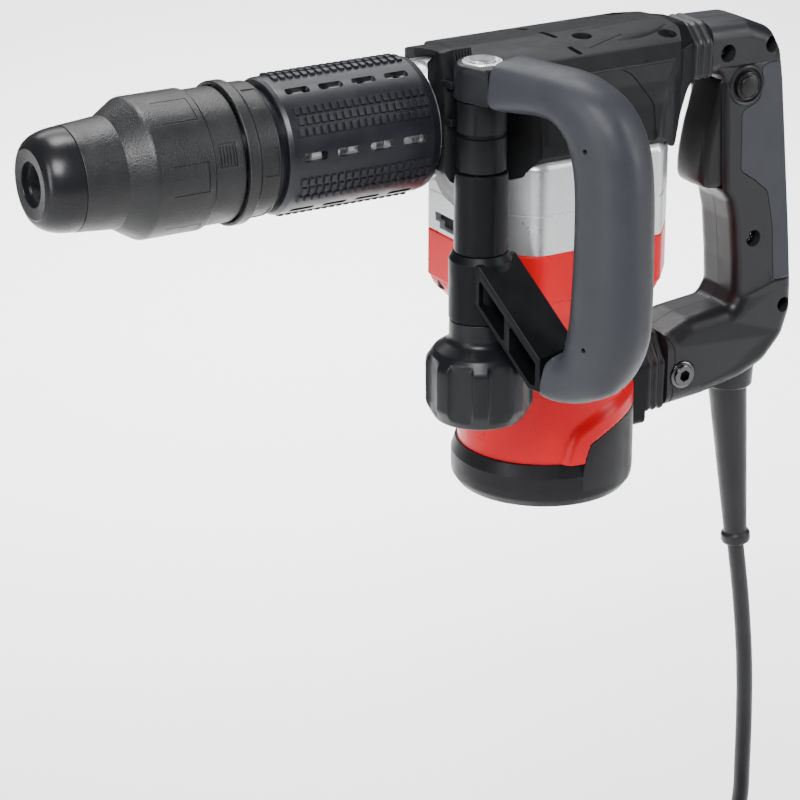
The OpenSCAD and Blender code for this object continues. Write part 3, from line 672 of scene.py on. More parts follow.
def make_locking_sleeve():
    """Coarse-grained sleeve with a cone, a flare, outlined thumb pads and a marked tail."""
    profile = fillet([(12.9, 17.65, 0), (12.9, 23.9, 0.4), (32.3, 25.5, 0.5), (34.6, 27.0, 3),
        (43.3, 32.3, 5), (71, 32.3, 0.9), (72, 31, 0.4), (86.9, 31, 0.6), (86.9, 24.4, 0), (40, 24.4, 0),
        (40, 17.65, 0)], 1.0, 6)
    sleeve = lathe("locking_sleeve_skin", profile, steps=160)
    pads, patches = range(16, 376, 60), (74, 194, 314)
    cut(sleeve, gather("marks", [m for a in pads for m in c_marks(50.5, 68, a, a + 25, 31.85, 34)]))
    cut(sleeve, gather("notches", [sector(74, 82.6, a - 10, a + 10, 30.5, 33, steps=8) for a in patches]))
    add(sleeve, gather("ridges", [sector(75 + 1.6 * i, 75.8 + 1.6 * i, a - 8.5, a + 8.5, 30.2, 31.0, 0.15, 6)
        for a in patches for i in range(5)]))
    dress(sleeve, "sleeve", "sleeve_plastic", ["locking_sleeve"], bevel=0.15, angle=40)


def make_index_ring():
    """Rotating ring: a rounded front lip, a step, and recessed flats round its rim."""
    profile = fillet([(87.8, 31.7, 0), (87.8, 33.1, 0.7), (93.4, 33.1, 1.6), (94.6, 31.2, 0.8),
        (105, 31, 1.4), (105, 27.4, 0), (97, 27.4, 0), (97, 17.55, 0), (94.2, 17.55, 0), (94.2, 30.6, 0),
        (93.6, 31.5, 0), (87.8, 31.5, 0)], 0.6, 5)
    ring = lathe("index_ring_skin", profile, steps=160)
    flats = [sector(96.4, 103.4, 60 * k + 14, 60 * k + 38, 30.65, 33, 0, 8) for k in range(6)]
    cut(ring, gather("flats", flats))
    dress(ring, "index", "sleeve_plastic", ["index_ring"], bevel=0.3)


def make_grip_sleeve():
    """Grip with six pads of small blocks and six rows of slots that show the barrel."""
    x0, x1 = GRIP_START, GRIP_END
    body = GRIP_R - 0.9
    profile = fillet([(x0 - 5, 26.8, 0), (x0 - 5, 27.25, 0), (x0 + 0.2, 27.25, 0), (x0 + 0.2, 28.6, 0),
        (x0, 28.8, 0), (x0, 30.4, 0.9), (x0 + 2.2, 31.6, 1.4), (x0 + 5, body, 3), (x1 - 4, body, 3),
        (x1 - 0.4, 31.0, 1.4), (x1, 30.0, 0.6), (x1, 28.8, 0), (x0 + 3, 28.8, 0), (x0 + 3, 26.8, 0)], 0.5, 6)
    sleeve = lathe("grip_sleeve_skin", profile, steps=192)
    slots = []
    outline = fillet(rect(-6.1, -2.0, 6.1, 2.0), 1.4, 4)
    for j in range(6):
        a = math.radians(60 * j + 27)
        out, turn = Vector((0, -math.sin(a), math.cos(a))), Vector((0, -math.cos(a), -math.sin(a)))
        for i in range(4):
            x = x0 + 12.6 + 17.1 * i

            def place(u, v, h, x=x, out=out, turn=turn):
                return Vector((x + u, 0, 0)) + turn * v + out * h
            slots.append(slab("slot", outline, 27.0, 35.0, place))
    blocks = []
    columns, rows = 18, 3
    step, wide = (x1 - x0 - 10) / columns, 9.0
    for j in range(6):
        middle = 60 * j + 57
        for i in range(columns):
            for k in range(rows):
                a = middle + (k - (rows - 1) / 2) * wide
                x = x0 + 5.2 + step * (i + 0.25 * (k % 2))
                blocks.append(sector(x, x + step * 0.8, a - wide * 0.43, a + wide * 0.43, GRIP_R - 1.6,
                    GRIP_R + 0.25, 0.5, 3))
    cut(sleeve, *slots)
    add(sleeve, gather("blocks", blocks))
    dress(sleeve, "machine", "grip_plastic", ["grip_sleeve"], bevel=0.12, angle=35)


def make_barrel():
    """Turned aluminium barrel with ribs under the grip sleeve and a smooth neck behind it."""
    profile = [(100.5, 17.6), (100.5, 26.6), (100.9, 27), (113.0, 27), (113.6, 28.5)]
    x = 117.0
    while x < 178:
        profile += [(x - 0.4, 28.5), (x, 28.0), (x, 25.2), (x + 3.6, 25.2), (x + 3.6, 28.0), (x + 4.0, 28.5)]
        x += 9.4
    profile += [(188, 28.6), (189, 27.5), (211.8, 27.5), (211.8, 19.6), (108.6, 19.6), (108.6, 17.6)]
    dress(lathe("barrel_skin", profile, steps=128), "machine", "bare_aluminium", ["front_barrel"])


# ---------- side handle ----------
def loop_plan(u, v, h):
    """An outline in the loop's plan: out from the post and across, with its height up Z."""
    return loop_place(u, h, v)


def make_clamp():
    """Wing plate hugging the neck, a ribbed fin, and a barrel with a groove round the post."""
    outline = fillet([(-15, -34), (-25, -38), (-33, -30), (-33, 22), (-28, 40, 0.8), (-24, 40, 0.8),
        (-14, 33)], 1.6, 4)
    wing = stack("clamp_skin", outline, [(188.9, 1.5), (190.4, 1.0), (194, 0.2), (195, 0), (209.6, 0),
        (210.5, 0.8)], section)
    cut(wing, slab("step", rect(204.5, 27, 215, 45), -40, 0, side))
    block = slab("block", fillet(rect(194, -42, 210.5, -30), 1.5, 3), -13.7, 20, plan, 0.8)
    barrel = on_post("barrel", [(-13.7, 0), (-13.7, 11.0), (-13.2, 11.6), (2.6, 11.6), (3.2, 10.6),
        (4.4, 10.6), (5.0, 11.6), (19.5, 11.6), (20, 11.0), (20, 0)], 80)
    add(wing, block, barrel)
    ribs = []
    for i in range(6):
        x = 194.6 + 1.65 * i
        ribs.append(slab("rib", fillet([(-33.4, 29), (-28.8, 38.8), (-27, 38.8), (-27, 29)], 0.3, 2), x,
            x + 0.8, section))
    for z in (-24.0, 7.0, 24.5):
        ribs.append(slab("tooth", fillet([(188.2, -38), (195, -38), (195, -26), (188.2, -29)], 0.6, 2), z,
            z + 3.2, plan, 0.5))
    add(wing, *ribs)
    cut(wing, slab("foot", ((180, -16), (188.5, -16), (199.5, -36), (199.5, -50), (180, -50)), -60, 0, side))
    cut(wing, rod("neck", (185, 0, 0), (220, 0, 0), 28.9, steps=96))
    dress(wing, "side_clamp", "cover_plastic", ["clamp_saddle"], bevel=0.25)


def make_post_top():
    """Bright disc with a turned ring, sunk in the block's rim, over the chamfered post end."""
    profile = [(36.2, 6.1), (36.2, 9.4), (36.9, 9.6), (37.5, 9.2), (37.6, 7.8), (37.2, 7.4), (37.2, 6.1)]
    dress(on_post("post_washer", profile, 64), "side_clamp", "bare_aluminium", ["post_nut"], bevel=0.12)


def make_loop_block():
    """Hard plastic block round the post that carries the grip's upper arm, with a rim round the disc."""
    outline = fillet([(-13, -13, 12.8), (13.4, -13, 0.6), (13.4, 13, 0.6), (-13, 13, 12.8)], 1, 12)
    levels = [(20.4, 0.5), (20.9, 0), (33.2, 0), (35.0, 0.5), (36.2, 1.2), (37.2, 2.4)]
    block = stack("loop_block", outline, levels, loop_plan)
    cut(block, rod("well", (POST.x, POST.y, 10), (POST.x, POST.y, 50), 6.1))
    cut(block, rod("seat", (POST.x, POST.y, 36), (POST.x, POST.y, 50), 9.9, steps=64))
    dress(block, "loop_handle", "handle_plastic", ["loop_core"], bevel=0.3, angle=40)


def make_loop_grip():
    """Soft D-shaped grip: squared where it meets its block and strut, swelling round its corners."""
    spine = [(13.7, 29.6, 13.0, 9.6, 6), (15.2, 29.5, 13.4, 11.2, 4.5), (19, 29.6, 13.6, 11.8, 3.4),
        (28, 29.9, 14, 11.6, 2.8), (38, 30.2, 14.5, 11.3, 2.5), (48, 29.4, 14.9, 12.0, 2.4),
        (57, 26.3, 15.3, 13.8, 2.35), (66.5, 19.0, 15.8, 16.3, 2.35), (72.3, 8, 16, 17.3, 2.35),
        (75, -8, 16, 17.4, 2.35), (75.6, -35, 16, 17.7, 2.35), (75.2, -62, 16, 18.4, 2.35),
        (73.8, -78, 15.8, 18.6, 2.35), (68.6, -91.5, 15.2, 16.8, 2.4), (61, -99.0, 14.6, 13.6, 2.6),
        (54, -101.8, 14.2, 11.6, 3.2), (48.6, -102.0, 14, 10.4, 4.5), (46.4, -101.6, 13.6, 9.2, 6)]
    stations = through(spine, 6)
    rings = []
    for i, (u, v, across, inside, power) in enumerate(stations):
        before, after = stations[max(i - 1, 0)], stations[min(i + 1, len(stations) - 1)]
        along = Vector((after[0] - before[0], after[1] - before[1])).normalized()
        out = Vector((-along.y, along.x))
        rings.append([loop_place(u + out.x * p.y, v + out.y * p.y, p.x)
            for p in ellipse(across, inside, 56, power)])
    grip = skin("loop_grip", rings)
    holes = [rod("hole", loop_place(u, v, -30), loop_place(u, v, -13.2), 1.2, steps=16) for u,
        v in ((70, 11.4), (71.3, -81.4))]
    cut(grip, *holes)
    dress(grip, "loop_handle", "soft_grip", ["loop_cover"], angle=50)


def make_spacer():
    profile = fillet([(-52.8, 6.1, 0), (-52.8, 12.5, 0.5), (-14.5, 12.5, 0.5), (-14.5, 6.1, 0)], 0.5, 3)
    dress(on_post("spacer_skin", profile, 80), "loop_handle", "cover_plastic", ["spacer_tube"])


def make_strut():
    """Collar with a chamfered top, and a wide box strut with two deep windows in its side."""
    profile = fillet([(-85.3, 6.1, 0), (-85.3, 14.8, 0.5), (-56.4, 14.8, 0.8), (-53, 12.9, 0.4),
        (-53, 6.1, 0)], 0.5, 4)
    collar = on_post("strut_skin", profile, 96)
    outline = fillet([(7.5, -55.2), (10, -55.4), (45.7, -92.3), (45.9, -108.6), (39.5, -108.0), (7.5, -74)],
        0.9, 3)
    arm = slab("arm", outline, -14.0, 14.0, loop_place, 0.7)
    for points in ([(10.2, -61.4), (25.0, -76.2), (25.0, -89.0), (10.2, -73.8)],
            [(28.0, -79.6), (43.2, -94.8), (43.2, -105.6), (40.4, -105.6), (28.0, -92.8)]):
        cut(arm, slab("window", fillet(points, 0.8, 3), -20, 10, loop_place))
    add(collar, arm)
    dress(collar, "loop_handle", "cover_plastic", ["strut_collar"], bevel=0.3)


def make_knob():
    """Turning knob: a neck, a rounded body and eight flutes with arched ends."""
    low = box_mm("side_knob")[0].z
    profile = fillet([(-85.7, 6.1, 0), (-85.7, 14.4, 0.6), (-96, 14.6, 4), (-100.5, 21.5, 4), (-106, 25.5, 6),
        (-127, 25.3, 5), (low, 21, 3), (low, 0, 0), (-131, 0, 0), (-131, 6.1, 0)], 1, 8)
    dense = through_profile(profile, 0.7)

    def flutes(z, a, r):
        x = ((math.degrees(a) + 8 + 22.5) % 45 - 22.5) / 14.0
        if r < 15 or abs(x) >= 1:
            return r
        arch = math.sqrt(1 - x * x)
        here = smooth_step((-104.5 + 6 * arch - z) / 1.8) * smooth_step((z + 128 + 5.5 * arch) / 1.8)
        return min(r, r + (23.1 - r) * here * arch ** 0.7)
    dress(on_post("knob_skin", dense, 320, flutes), "knob", "handle_plastic", ["side_knob"], angle=60)


# ---------- housings ----------
def housing_plan():
    """Plan of the gear housing: a flat front, cut corners, straight sides and a narrower rear."""
    x0, x1, w = FRONT_X, REAR_X, HALF_W
    return fillet(mirrored([(x0, -22, 2.5), (x0 + 21, -w, 12), (302, -w, 6), (x1, -25, 2.5)], 1), 4, 8)


def hood(half, top, bottom):
    """Half-round cross-section with a flat crown and sloped shoulders."""
    side_top = top - 8.6
    return fillet(mirrored([(-half, bottom, 0), (-half, side_top, 5), (-half * 0.52, top, 7)]), 3, 7)


COVER_SCREWS = ((277, -10.5), (318, -22), (318, 22))
SLITS = (((260.2, 21), (261.2, 13)), ((262.6, 3.5), (264.6, -7.5)), ((263.4, -19.8), (264.8, -28.5)))


def make_top_cover():
    """Crowned cover with a visor over the neck, slits, screw wells and a shoulder that narrows behind."""
    outline = fillet(mirrored([(-39.5, 13.8, 0), (-37.5, 22, 3), (-30, 28.2, 5), (-15, 31.2, 12),
        (0, COVER_TOP + 0.2, 30)]), 3, 5)
    cover = slab("top_cover_skin", outline, FRONT_X - 0.5, 331, section, 2.2, 1.2)
    shape = fillet(mirrored([(180, -50, 0), (304, -50, 0), (304, -39.5, 1), (311, -38, 4), (320, -31, 6),
        (327.5, -18, 10), (329.5, 0, 40)], 1), 3, 5)
    common(cover, slab("plan", shape, 0, 60, plan))
    visor = slab("visor", fillet([(-8.4, 26.5), (-8.9, 31.6), (0, COVER_TOP), (15, 31.0), (24, 28.6),
        (24, 18), (10, 25.5)], 1.2, 4), 199.5, FRONT_X + 8, section, 1.6, 1.0)
    slant = slab("slant", ((190, -40), (213, -40), (204.5, -8), (199.8, 14), (200.5, 40), (190, 40)), 0, 60,
        plan)
    cut(visor, slant)
    add(cover, visor)
    cut(cover, rod("neck", (188, 0, 0), (FRONT_X + 3, 0, 0), 29.2, steps=96))
    for s in (-1, 1):
        corner = [(FRONT_X - 4, s * 22), (FRONT_X + 20.5, s * 46), (FRONT_X - 4, s * 46)]
        cut(cover, slab("corner", corner, 0, 50, plan))
    for x, y in COVER_SCREWS:
        cut(cover, rod("well", (x, y, 25.6), (x, y, 45), 4.2, 6.2))
    for a, b in SLITS:
        a, b = Vector(a), Vector(b)
        across = (b - a).normalized().orthogonal() * 1.45
        cut(cover, slab("slit", fillet([a + across, b + across, b - across, a - across], 0.7, 3), 27.5, 40,
            plan))
    for a, b in (((279, -3.6), (317, 0.6)), ((272, -24.2), (296, -15.5))):
        groove(cover, [(a[0] + (b[0] - a[0]) * k / 4, a[1] + (b[1] - a[1]) * k / 4, 40) for k in range(5)],
            (0, 0, -1), 0.32)
    dress(cover, "machine", "cover_plastic", ["top_cover"], bevel=0.35)
    rings = []
    for x, half, top, bottom in through([(290, 38.4, 30.6, 12), (300, 38.0, 30.9, 11), (310, 35.6, 31.0, 9.5),
            (319, 29.8, 31.4, 8), (326, 24.8, 31.4, 6), (331, 21.6, 31.0, 4.0), (336.8, 19.2, 30.2, 1.8)], 4):
        rings.append([section(q.x, q.y, x) for q in hood(half, top, bottom)])
    dress(skin("shoulder_skin", rings), "machine", "cover_plastic", ["top_cover"], bevel=0.3)


def cross_head(name, height, r):
    """A countersunk head with a cross recess, standing on XY at the origin."""
    head = lathe(name, [(0, 0), (0, r), (height * 0.55, r * 0.96), (height * 0.9, r * 0.65), (height, 0)],
        "Z", steps=32)
    for k in (0.6, 2.17):
        along = Vector((math.cos(k), math.sin(k)))
        across = along.orthogonal()
        corners = [along * i * r * 0.66 + across * j * 0.45 for i, j in ((-1, -1), (1, -1), (1, 1), (-1, 1))]
        cut(head, slab("cross", corners, height * 0.45, height + 2, plan))
    return head


def place_heads(name, heads, spots):
    """Copies of a screw head at each (place, facing), as one mesh."""
    out = None
    for middle, facing in spots:
        head = copy_of(heads, name)
        look = Vector(facing).to_track_quat("Z", "Y").to_matrix().to_4x4()
        head.data.transform(Matrix.Translation(Vector(middle) * MM) @ look)
        out = head if out is None else add(out, head)
    bpy.data.objects.remove(heads)
    return out


def make_cover_screws():
    """Screws at the bottom of the cover's wells."""
    heads = place_heads("cover_screw_heads", cross_head("head", 2.4, 3.5),
        [((x, y, 25.5), (0, 0, 1)) for x, y in COVER_SCREWS])
    dress(heads, "machine", "screw_steel", ["cover_screws"], bevel=0.1)


def make_side_panels():
    """Black flanks with a ledge, a dropped front corner and a rear that curves up under the handle."""
    for s, name in ((-1, "side_panel_left"), (1, "side_panel_right")):
        view = fillet([(FRONT_X + 0.6, -26), (223, -24.6, 4), (227.2, -22.8, 2), (230.8, -16.2, 3),
            (306, -16.2, 4), (310, -20.5, 4), (316.4, -22.2, 3), (321.6, -15, 12), (326.5, -6, 12),
            (331, 0.6, 6), (335.4, 3.4, 1), (335.4, 22, 0), (FRONT_X + 0.6, 22, 0)], 1, 6)
        panel = slab(name, view, 12 * s, HALF_W * s, side)
        shape = fillet([(FRONT_X + 0.6, 22.5 * s, 2), (FRONT_X + 21, HALF_W * s, 12), (302, HALF_W * s, 12),
            (313, 36.5 * s, 12), (324, 26.0 * s, 14), (335.6, 19.2 * s, 4), (342, 17.5 * s, 1),
            (342, 12 * s, 0), (FRONT_X + 0.6, 12 * s, 0)], 3, 7)
        common(panel, slab("plan", shape, -40, 40, plan))
        profile = fillet([(10 * s, -40, 0), (42.0 * s, -40, 0), (42.0 * s, -17, 0), (HALF_W * s, -12.4, 1),
            (HALF_W * s, 3, 16), (42.2 * s, 14, 6), (38.6 * s, 21.8, 1.4), (30 * s, 22, 0), (10 * s, 22, 0)],
            1, 6)
        common(panel, slab("profile", profile, 190, 360, section))
        cut(panel, slab("room", rect(FRONT_X - 3, -30, 306, 20.5), 8 * s, 27 * s, side))
        step = [(FRONT_X - 3, -30), (FRONT_X - 3, -7.2), (298, -8.8), (298, -30)]
        cut(panel, slab("ledge", step, s * (HALF_W - 0.6), s * 60, side))
        groove(panel, [(281, 60 * s, 21.0), (285.5, 60 * s, 18.3), (290.2, 60 * s, 11.5), (295, 60 * s, 4.3),
            (296.3, 60 * s, -4), (297, 60 * s, -14)], (0, -s, 0), 0.55)
        dress(panel, "machine", "cover_plastic", ["side_panels"], bevel=0.35)


def make_gear_housing():
    """Silver casting with a rounded top edge, a parting groove and a small window in front."""
    z0, z1 = SILVER_BOTTOM, SILVER_TOP
    levels = [(z0 + 0.05, 0.4), (z0 + 0.5, 0), (-42.1, 0), (-41.9, 0.45), (-41.3, 0.45), (-41.1, 0),
        (z1 - 6, 0), (z1 - 4.4, 0.6), (z1 - 2.8, 1.6), (z1 - 0.9, 4.2), (z1, 6.2)]
    casting = stack("gear_casing", housing_plan(), levels)
    for s in (-1, 1):
        cut(casting, slab("drop", fillet([(FRONT_X - 5, -26.2), (223.1, -24.8, 4), (227.4, -23, 2), (232, -8),
            (FRONT_X - 5, -8)], 0, 4), s * 12, s * 60, side))
    window = ((-2, -51.5), (15, -51.5), (15, -56), (11, -56), (11, -59), (-2, -59))
    cut(casting, slab("window", window, FRONT_X - 2, FRONT_X + 14, section))
    dress(casting, "machine", "cast_silver", ["gear_housing"], bevel=0.3, angle=38)
    plate = slab("window_plate", fillet(rect(-1.8, -51.7, 14.8, -58.8), 0.5, 3), FRONT_X + 3, FRONT_X + 13,
        section)
    dress(plate, "machine", "cover_plastic", ["gear_housing"], bevel=0.3)


RIM_REAR, RIM_FRONT, RIM_STEP = -152.0, -175.0, 90.5


def rim_height(a):
    """Top of the base cap, a in degrees round the motor axis from the rear: high behind, low in front."""
    a = abs(a)
    high = RIM_REAR - 7.4 * (min(a, RIM_STEP) / 84) ** 4
    return high + (RIM_FRONT - high) * min(1.0, max(0.0, a - RIM_STEP) / 5.5) ** 1.3


def plan_reach(outline, a):
    """Distance from the motor axis to an outline in XY, at an angle in radians."""
    ray = Vector((math.cos(a), math.sin(a)))
    best = 0.0
    for i, q in enumerate(outline):
        p0, p1 = outline[i - 1] - Vector((MOTOR_X, 0)), q - Vector((MOTOR_X, 0))
        edge = p1 - p0
        cross = ray.cross(edge)
        if abs(cross) > 1e-9:
            t, k = p0.cross(edge) / cross, p0.cross(ray) / cross
            if t > 0 and -1e-6 <= k <= 1 + 1e-6:
                best = max(best, t)
    return best


def make_motor_housing():
    """Red housing: a band in the gear housing's plan that turns into a bowl, flared where the cap rises."""
    z0, z1 = BAND_BOTTOM, SILVER_BOTTOM
    outline = housing_plan()
    band = stack("motor_casing", outline, [(z0 - 0.6, 3), (z0 - 0.6, 0.9), (z0, 0.35), (z0 + 0.5, 0),
        (z1 - 0.8, 0), (z1 - 0.15, 0.6)])
    reach = {}
    edge = [(a, rim_height(a)) for a in [0.5 * k for k in range(181)] + [90 + 0.1 * k for k in range(61)]]
    tree = KDTree(len(edge))
    for k, (a, z) in enumerate(edge):
        tree.insert((math.radians(a) * MOTOR_R, z, 0), k)
    tree.balance()
    bowl_top, lip_width, lip_height = -106, 7.0, 3.0

    def form(z, a, r):
        if r < 5:
            return r
        key = round(a, 5)
        if key not in reach:
            reach[key] = plan_reach(outline, a)
        upper = smooth_step((z - bowl_top) / (z0 - bowl_top))
        r = (r - 0.9) * (1 - upper) + (reach[key] - 1.1) * upper
        turn = math.degrees(abs(math.atan2(math.sin(a), math.cos(a))))
        near = tree.find((math.radians(turn) * MOTOR_R, z, 0))[2]
        lip = 1 - smooth_step((near - lip_width) / 4.5)
        if turn < 96 and z < rim_height(turn):
            lip *= smooth_step(1 - near / 1.5)
        return r + lip_height * lip
    low = CAP_RIM - 4.5
    rows = [z0 - 0.4 - (z0 - 0.4 - low) * k / 90 for k in range(91)]
    profile = [(z0 - 0.4, 0)] + [(z, MOTOR_R) for z in rows] + [(low, 0)]
    bowl = lathe("bowl", profile, "Z", (MOTOR_X, 0, 0), 240, form)
    add(band, bowl)
    dress(band, "machine", "red_plastic", ["motor_housing"], bevel=0.2, angle=40)


def make_base_cap():
    """Black cap: rounded foot and bevelled rim, and a wall that rises behind the red housing."""
    z = BASE_Z
    profile = fillet([(z, 0, 0), (z, BASE_R - 3.5, 3), (z + 4.5, BASE_R - 0.3, 4), (z + 9, BASE_R, 1),
        (-178, BASE_R, 0.6), (-171.6, 43.0, 0.5), (-171.6, 41.5, 0), (-178, 41.5, 0), (-178, 0, 0)], 0.5, 5)
    cap = lathe("base_cap_skin", profile, "Z", (MOTOR_X, 0, 0), 160)
    for k in range(4):
        t = math.radians(45 + 90 * k)
        x, y = MOTOR_X + 37.2 * math.cos(t), 37.2 * math.sin(t)
        cut(cap, rod("well", (x, y, z - 2), (x, y, z + 3), 3.7))
    dress(cap, "machine", "cap_plastic", ["base_cap"], bevel=0.3)
    rings = []
    turns = [-96 + 0.5 * k for k in range(16)]
    for a in turns + [-88 + 2.0 * k for k in range(89)] + [-a for a in reversed(turns)]:
        t, top = math.radians(a), rim_height(a)
        ring = [(45.06, -186), (45.06, top - 0.8), (44.8, top - 0.2), (44.2, top), (41.0, top), (41.0, -186)]
        rings.append([Vector((MOTOR_X + r * math.cos(t), r * math.sin(t), h)) for r, h in ring])
    dress(skin("base_cap_rear", rings), "machine", "cap_plastic", ["base_cap"], bevel=0.0, angle=40)


def make_feet():
    feet = None
    for s in (-1, 1):
        low = box_mm("front_foot")[0].z
        foot = lathe("front_feet", [(low, 0), (low, 4.2), (low + 0.8, 5), (BAND_BOTTOM - 0.1, 5.4),
            (BAND_BOTTOM - 0.1, 0)], "Z", (FRONT_X + 6.5, 14 * s, 0), 40)
        feet = foot if feet is None else add(feet, foot)
    dress(feet, "machine", "cover_plastic", ["front_foot"])


# ---------- rear handle ----------
PIVOT = Vector((336.5, 0, -148.6))
BUTTON = Vector((370.2, 0, -4.2))
HANDLE_SCREWS = ((357.4, 13.7), (378.4, -84.5))


def handle_form(name):
    """The handle as one body: rounded edges, a narrower grip, open towards both bellows."""
    outline = fillet([(338, 28.6, 0), (372, 27.6, 12), (386.2, 22.0, 12), (392.4, 11, 14), (394.8, -4, 20),
        (398.4, -40, 60), (402.4, -81, 60), (405, -112, 20), (405.2, -126, 14), (400.5, -140, 16),
        (389, -152.6, 16), (374, -159, 20), (350, -163.4, 30), (318, -166, 0), (318, -130, 0),
        (331, -125.4, 6), (341, -121.2, 12), (366, -118.8, 5), (369.8, -112.5, 5), (369, -97, 30),
        (366.8, -74, 20), (364.4, -64, 5), (360.4, -58.4, 3), (359.6, -53, 6), (357.4, -2, 3), (355, 3, 3),
        (338, 0.8, 0)], 2, 6)
    form = slab(name, outline, -18, 18, side, 8.2, 7.6, 8)
    waist = fillet([(330, -4, 0), (340, 1.2, 2), (352.5, 7.4, 4), (384.5, 6.6, 2), (430, 7.4, 0),
        (430, -108.5, 0), (391, -109.5, 12), (366, -116.5, 8), (330, -104, 0)], 2, 5)
    for s in (-1, 1):
        cut(form, slab("waist", waist, 16.3 * s, 40 * s, side, 2.0, 2.4))
    return form


INSERT = [(384.4, 5.6, 2.2), (378.9, 3.4, 3), (381.0, -4, 7), (378.6, -13, 4), (368.3, -17.8, 3),
    (369.0, -48, 3), (378.0, -54.2, 5), (386.0, -61, 8), (389.8, -80, 30), (391.4, -104, 10),
    (391.6, -108.6, 1.5)]


def insert_line():
    """Boundary of the soft insert in side view: an S round the button, then down the grip."""
    return fillet([(430, 5.8, 0), *INSERT, (430, -109.5, 0)], 2, 5)


def make_rear_handle():
    """Two shells round a soft insert, with wells, a scooped boss, a trigger mouth and a cord boss."""
    form = handle_form("handle_form")
    add(form, lathe("boss", [(-166.6, 0), (-166.6, 11.6), (-165.8, 12.4), (-150, 13.4), (-150, 0)], "Z",
        (378, 0, 0), 64))
    for x0, x1, z0, z1 in ((330, 348.4, -20, 60), (300, 327.4, -190, -100)):
        cut(form, slab("end", rect(x0, z0, x1, z1), -40, 40, side))
    cut(form, slab("mouth", rect(340, -57.2, 379.6, -0.4), -12.9, 12.9, side))
    line = insert_line()
    insert = common(copy_of(form, "soft_insert_skin"), slab("zone", inset(line, 0.2), -30, 30, side))
    cut(form, slab("zone", inset(line, -0.2), -30, 30, side))
    cut(form, slab("tongue", rect(320, -170, 351, -135), -9.3, 9.3, side))
    scoop = [(10, 0), (10, 10.6), (16.2, 10.4), (17.2, 9.9), (17.6, 9.2), (17.4, 8.7), (15.6, 7.6), (10, 7.6)]
    for s in (-1, 1):
        add(form, lathe("boss", [(s * y, r) for y, r in scoop], "Y", BUTTON, 64))
    bores(form, [(BUTTON.x, BUTTON.z)], 5, 19, 7.25, steps=48)
    cut(form, rod("pivot hole", (PIVOT.x, -25, PIVOT.z), (PIVOT.x, 25, PIVOT.z), 5.05))
    bores(form, [(PIVOT.x, PIVOT.z)], 17.4, 25, 7.6, steps=48)
    bores(form, HANDLE_SCREWS, 11.5, 22, 4.1, 4.6, 40)
    cut(form, rod("relief hole", (378, 0, -170), (378, 0, -148), 6.15))
    bores(form, ((384.0, 14.6), (398.0, -122.5)), 9, 22, 3.6, 4.2)
    for s, name, node in ((-1, "rear_shell_left", "handle_shell_left"),
            (1, "rear_shell_right", "handle_shell_right")):
        half = common(copy_of(form, name), slab("half", rect(300, -200, 440, 60), s * 0.12, s * 40, side))
        groove(half, [(330.5, 40 * s, -163), (331, 40 * s, -150), (331.5, 40 * s, -136),
            (327.5, 40 * s, -127.5)], (0, -s, 0), 0.4)
        dress(half, "rear_handle", "handle_plastic", [node], bevel=0.3)
    bpy.data.objects.remove(form)
    dress(insert, "rear_handle", "soft_grip", ["soft_insert"], bevel=0.4)


def make_handle_screws():
    """Screws deep in the shell wells."""
    heads = place_heads("shell_screw_heads", cross_head("head", 2.2, 3.3),
        [((x, s * 11.3, z), (0, s, 0)) for x, z in HANDLE_SCREWS for s in (-1, 1)])
    dress(heads, "rear_handle", "screw_steel", ["handle_screws"], bevel=0.1)


def make_trigger():
    """Long paddle as wide as its mouth, with flat flanks, side ridges and a broad front that leans out."""
    stations = through([(-0.9, 360.5, 0.8), (-1.6, 358.6, 0.92), (-3.5, 357.6, 0.98), (-11, 356.0, 1.0),
        (-20, 353.7, 1.0), (-28, 351.5, 1.0), (-41, 349.2, 1.0), (-50, 348.8, 1.0), (-54.0, 349.7, 0.99),
        (-55.8, 351.8, 0.94), (-56.4, 356, 0.86)], 4)
    rings = []
    for z, front, wide in stations:
        half = [(371, 12.4), (front + 4.2, 12.4), (front + 2.4, 12.0), (front + 1.1, 11.1),
            (front + 0.4, 9.8), (front, 8), (front - 0.3, 4), (front - 0.4, 0.8)]
        ring = [(x, -y * wide) for x, y in half] + [(x, y * wide) for x, y in reversed(half)]
        rings.append([plan(x, y, z) for x, y in ring])
    dress(skin("trigger_skin", rings), "trigger", "trigger_plastic", ["trigger"], angle=50)


def make_lock_button():
    """Domed button with a rim, in its scooped boss."""
    profile = [(-19.6, 0), (-19.5, 4.6), (-19.2, 5.0), (-18.4, 5.2), (-18.3, 5.8), (-18.7, 6.3), (-18.4, 6.8),
        (-17.8, 7.0), (-11.8, 7.0), (-11.8, 0)]
    dress(lathe("lock_button_skin", profile, "Y", BUTTON, 64), "lock_button", "trigger_plastic",
        ["lock_button"])


def bellows(name, outline, x0, x1, ribs, deep, node):
    """A rubber sleeve with rounded ribs, from the machine at one end to the handle at the other."""
    steps = ribs * 12
    levels = []
    for k in range(steps + 1):
        t = k / steps
        levels.append((x0 + (x1 - x0) * t, deep * (0.5 + 0.5 * math.cos(math.tau * ribs * t)) ** 1.4))
    sleeve = stack(name, outline, levels, section)
    dress(sleeve, None, "cord_rubber", [node], angle=60)
    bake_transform(sleeve)


def make_bellows():
    upper = fillet(mirrored([(-18.0, 2.0, 4), (-18.9, 20.8, 6), (-10, 29.5, 6)]), 5, 7)
    bellows("upper_bellows_skin", upper, 336.2, 348.9, 3, 0.8, "upper_bellows")
    lower = fillet(mirrored([(-16.5, -166, 4), (-17.4, -140, 7), (-8.5, -126, 6)]), 5, 7)
    bellows("lower_bellows_skin", lower, 315.8, 327.6, 3, 1.1, "lower_bellows")


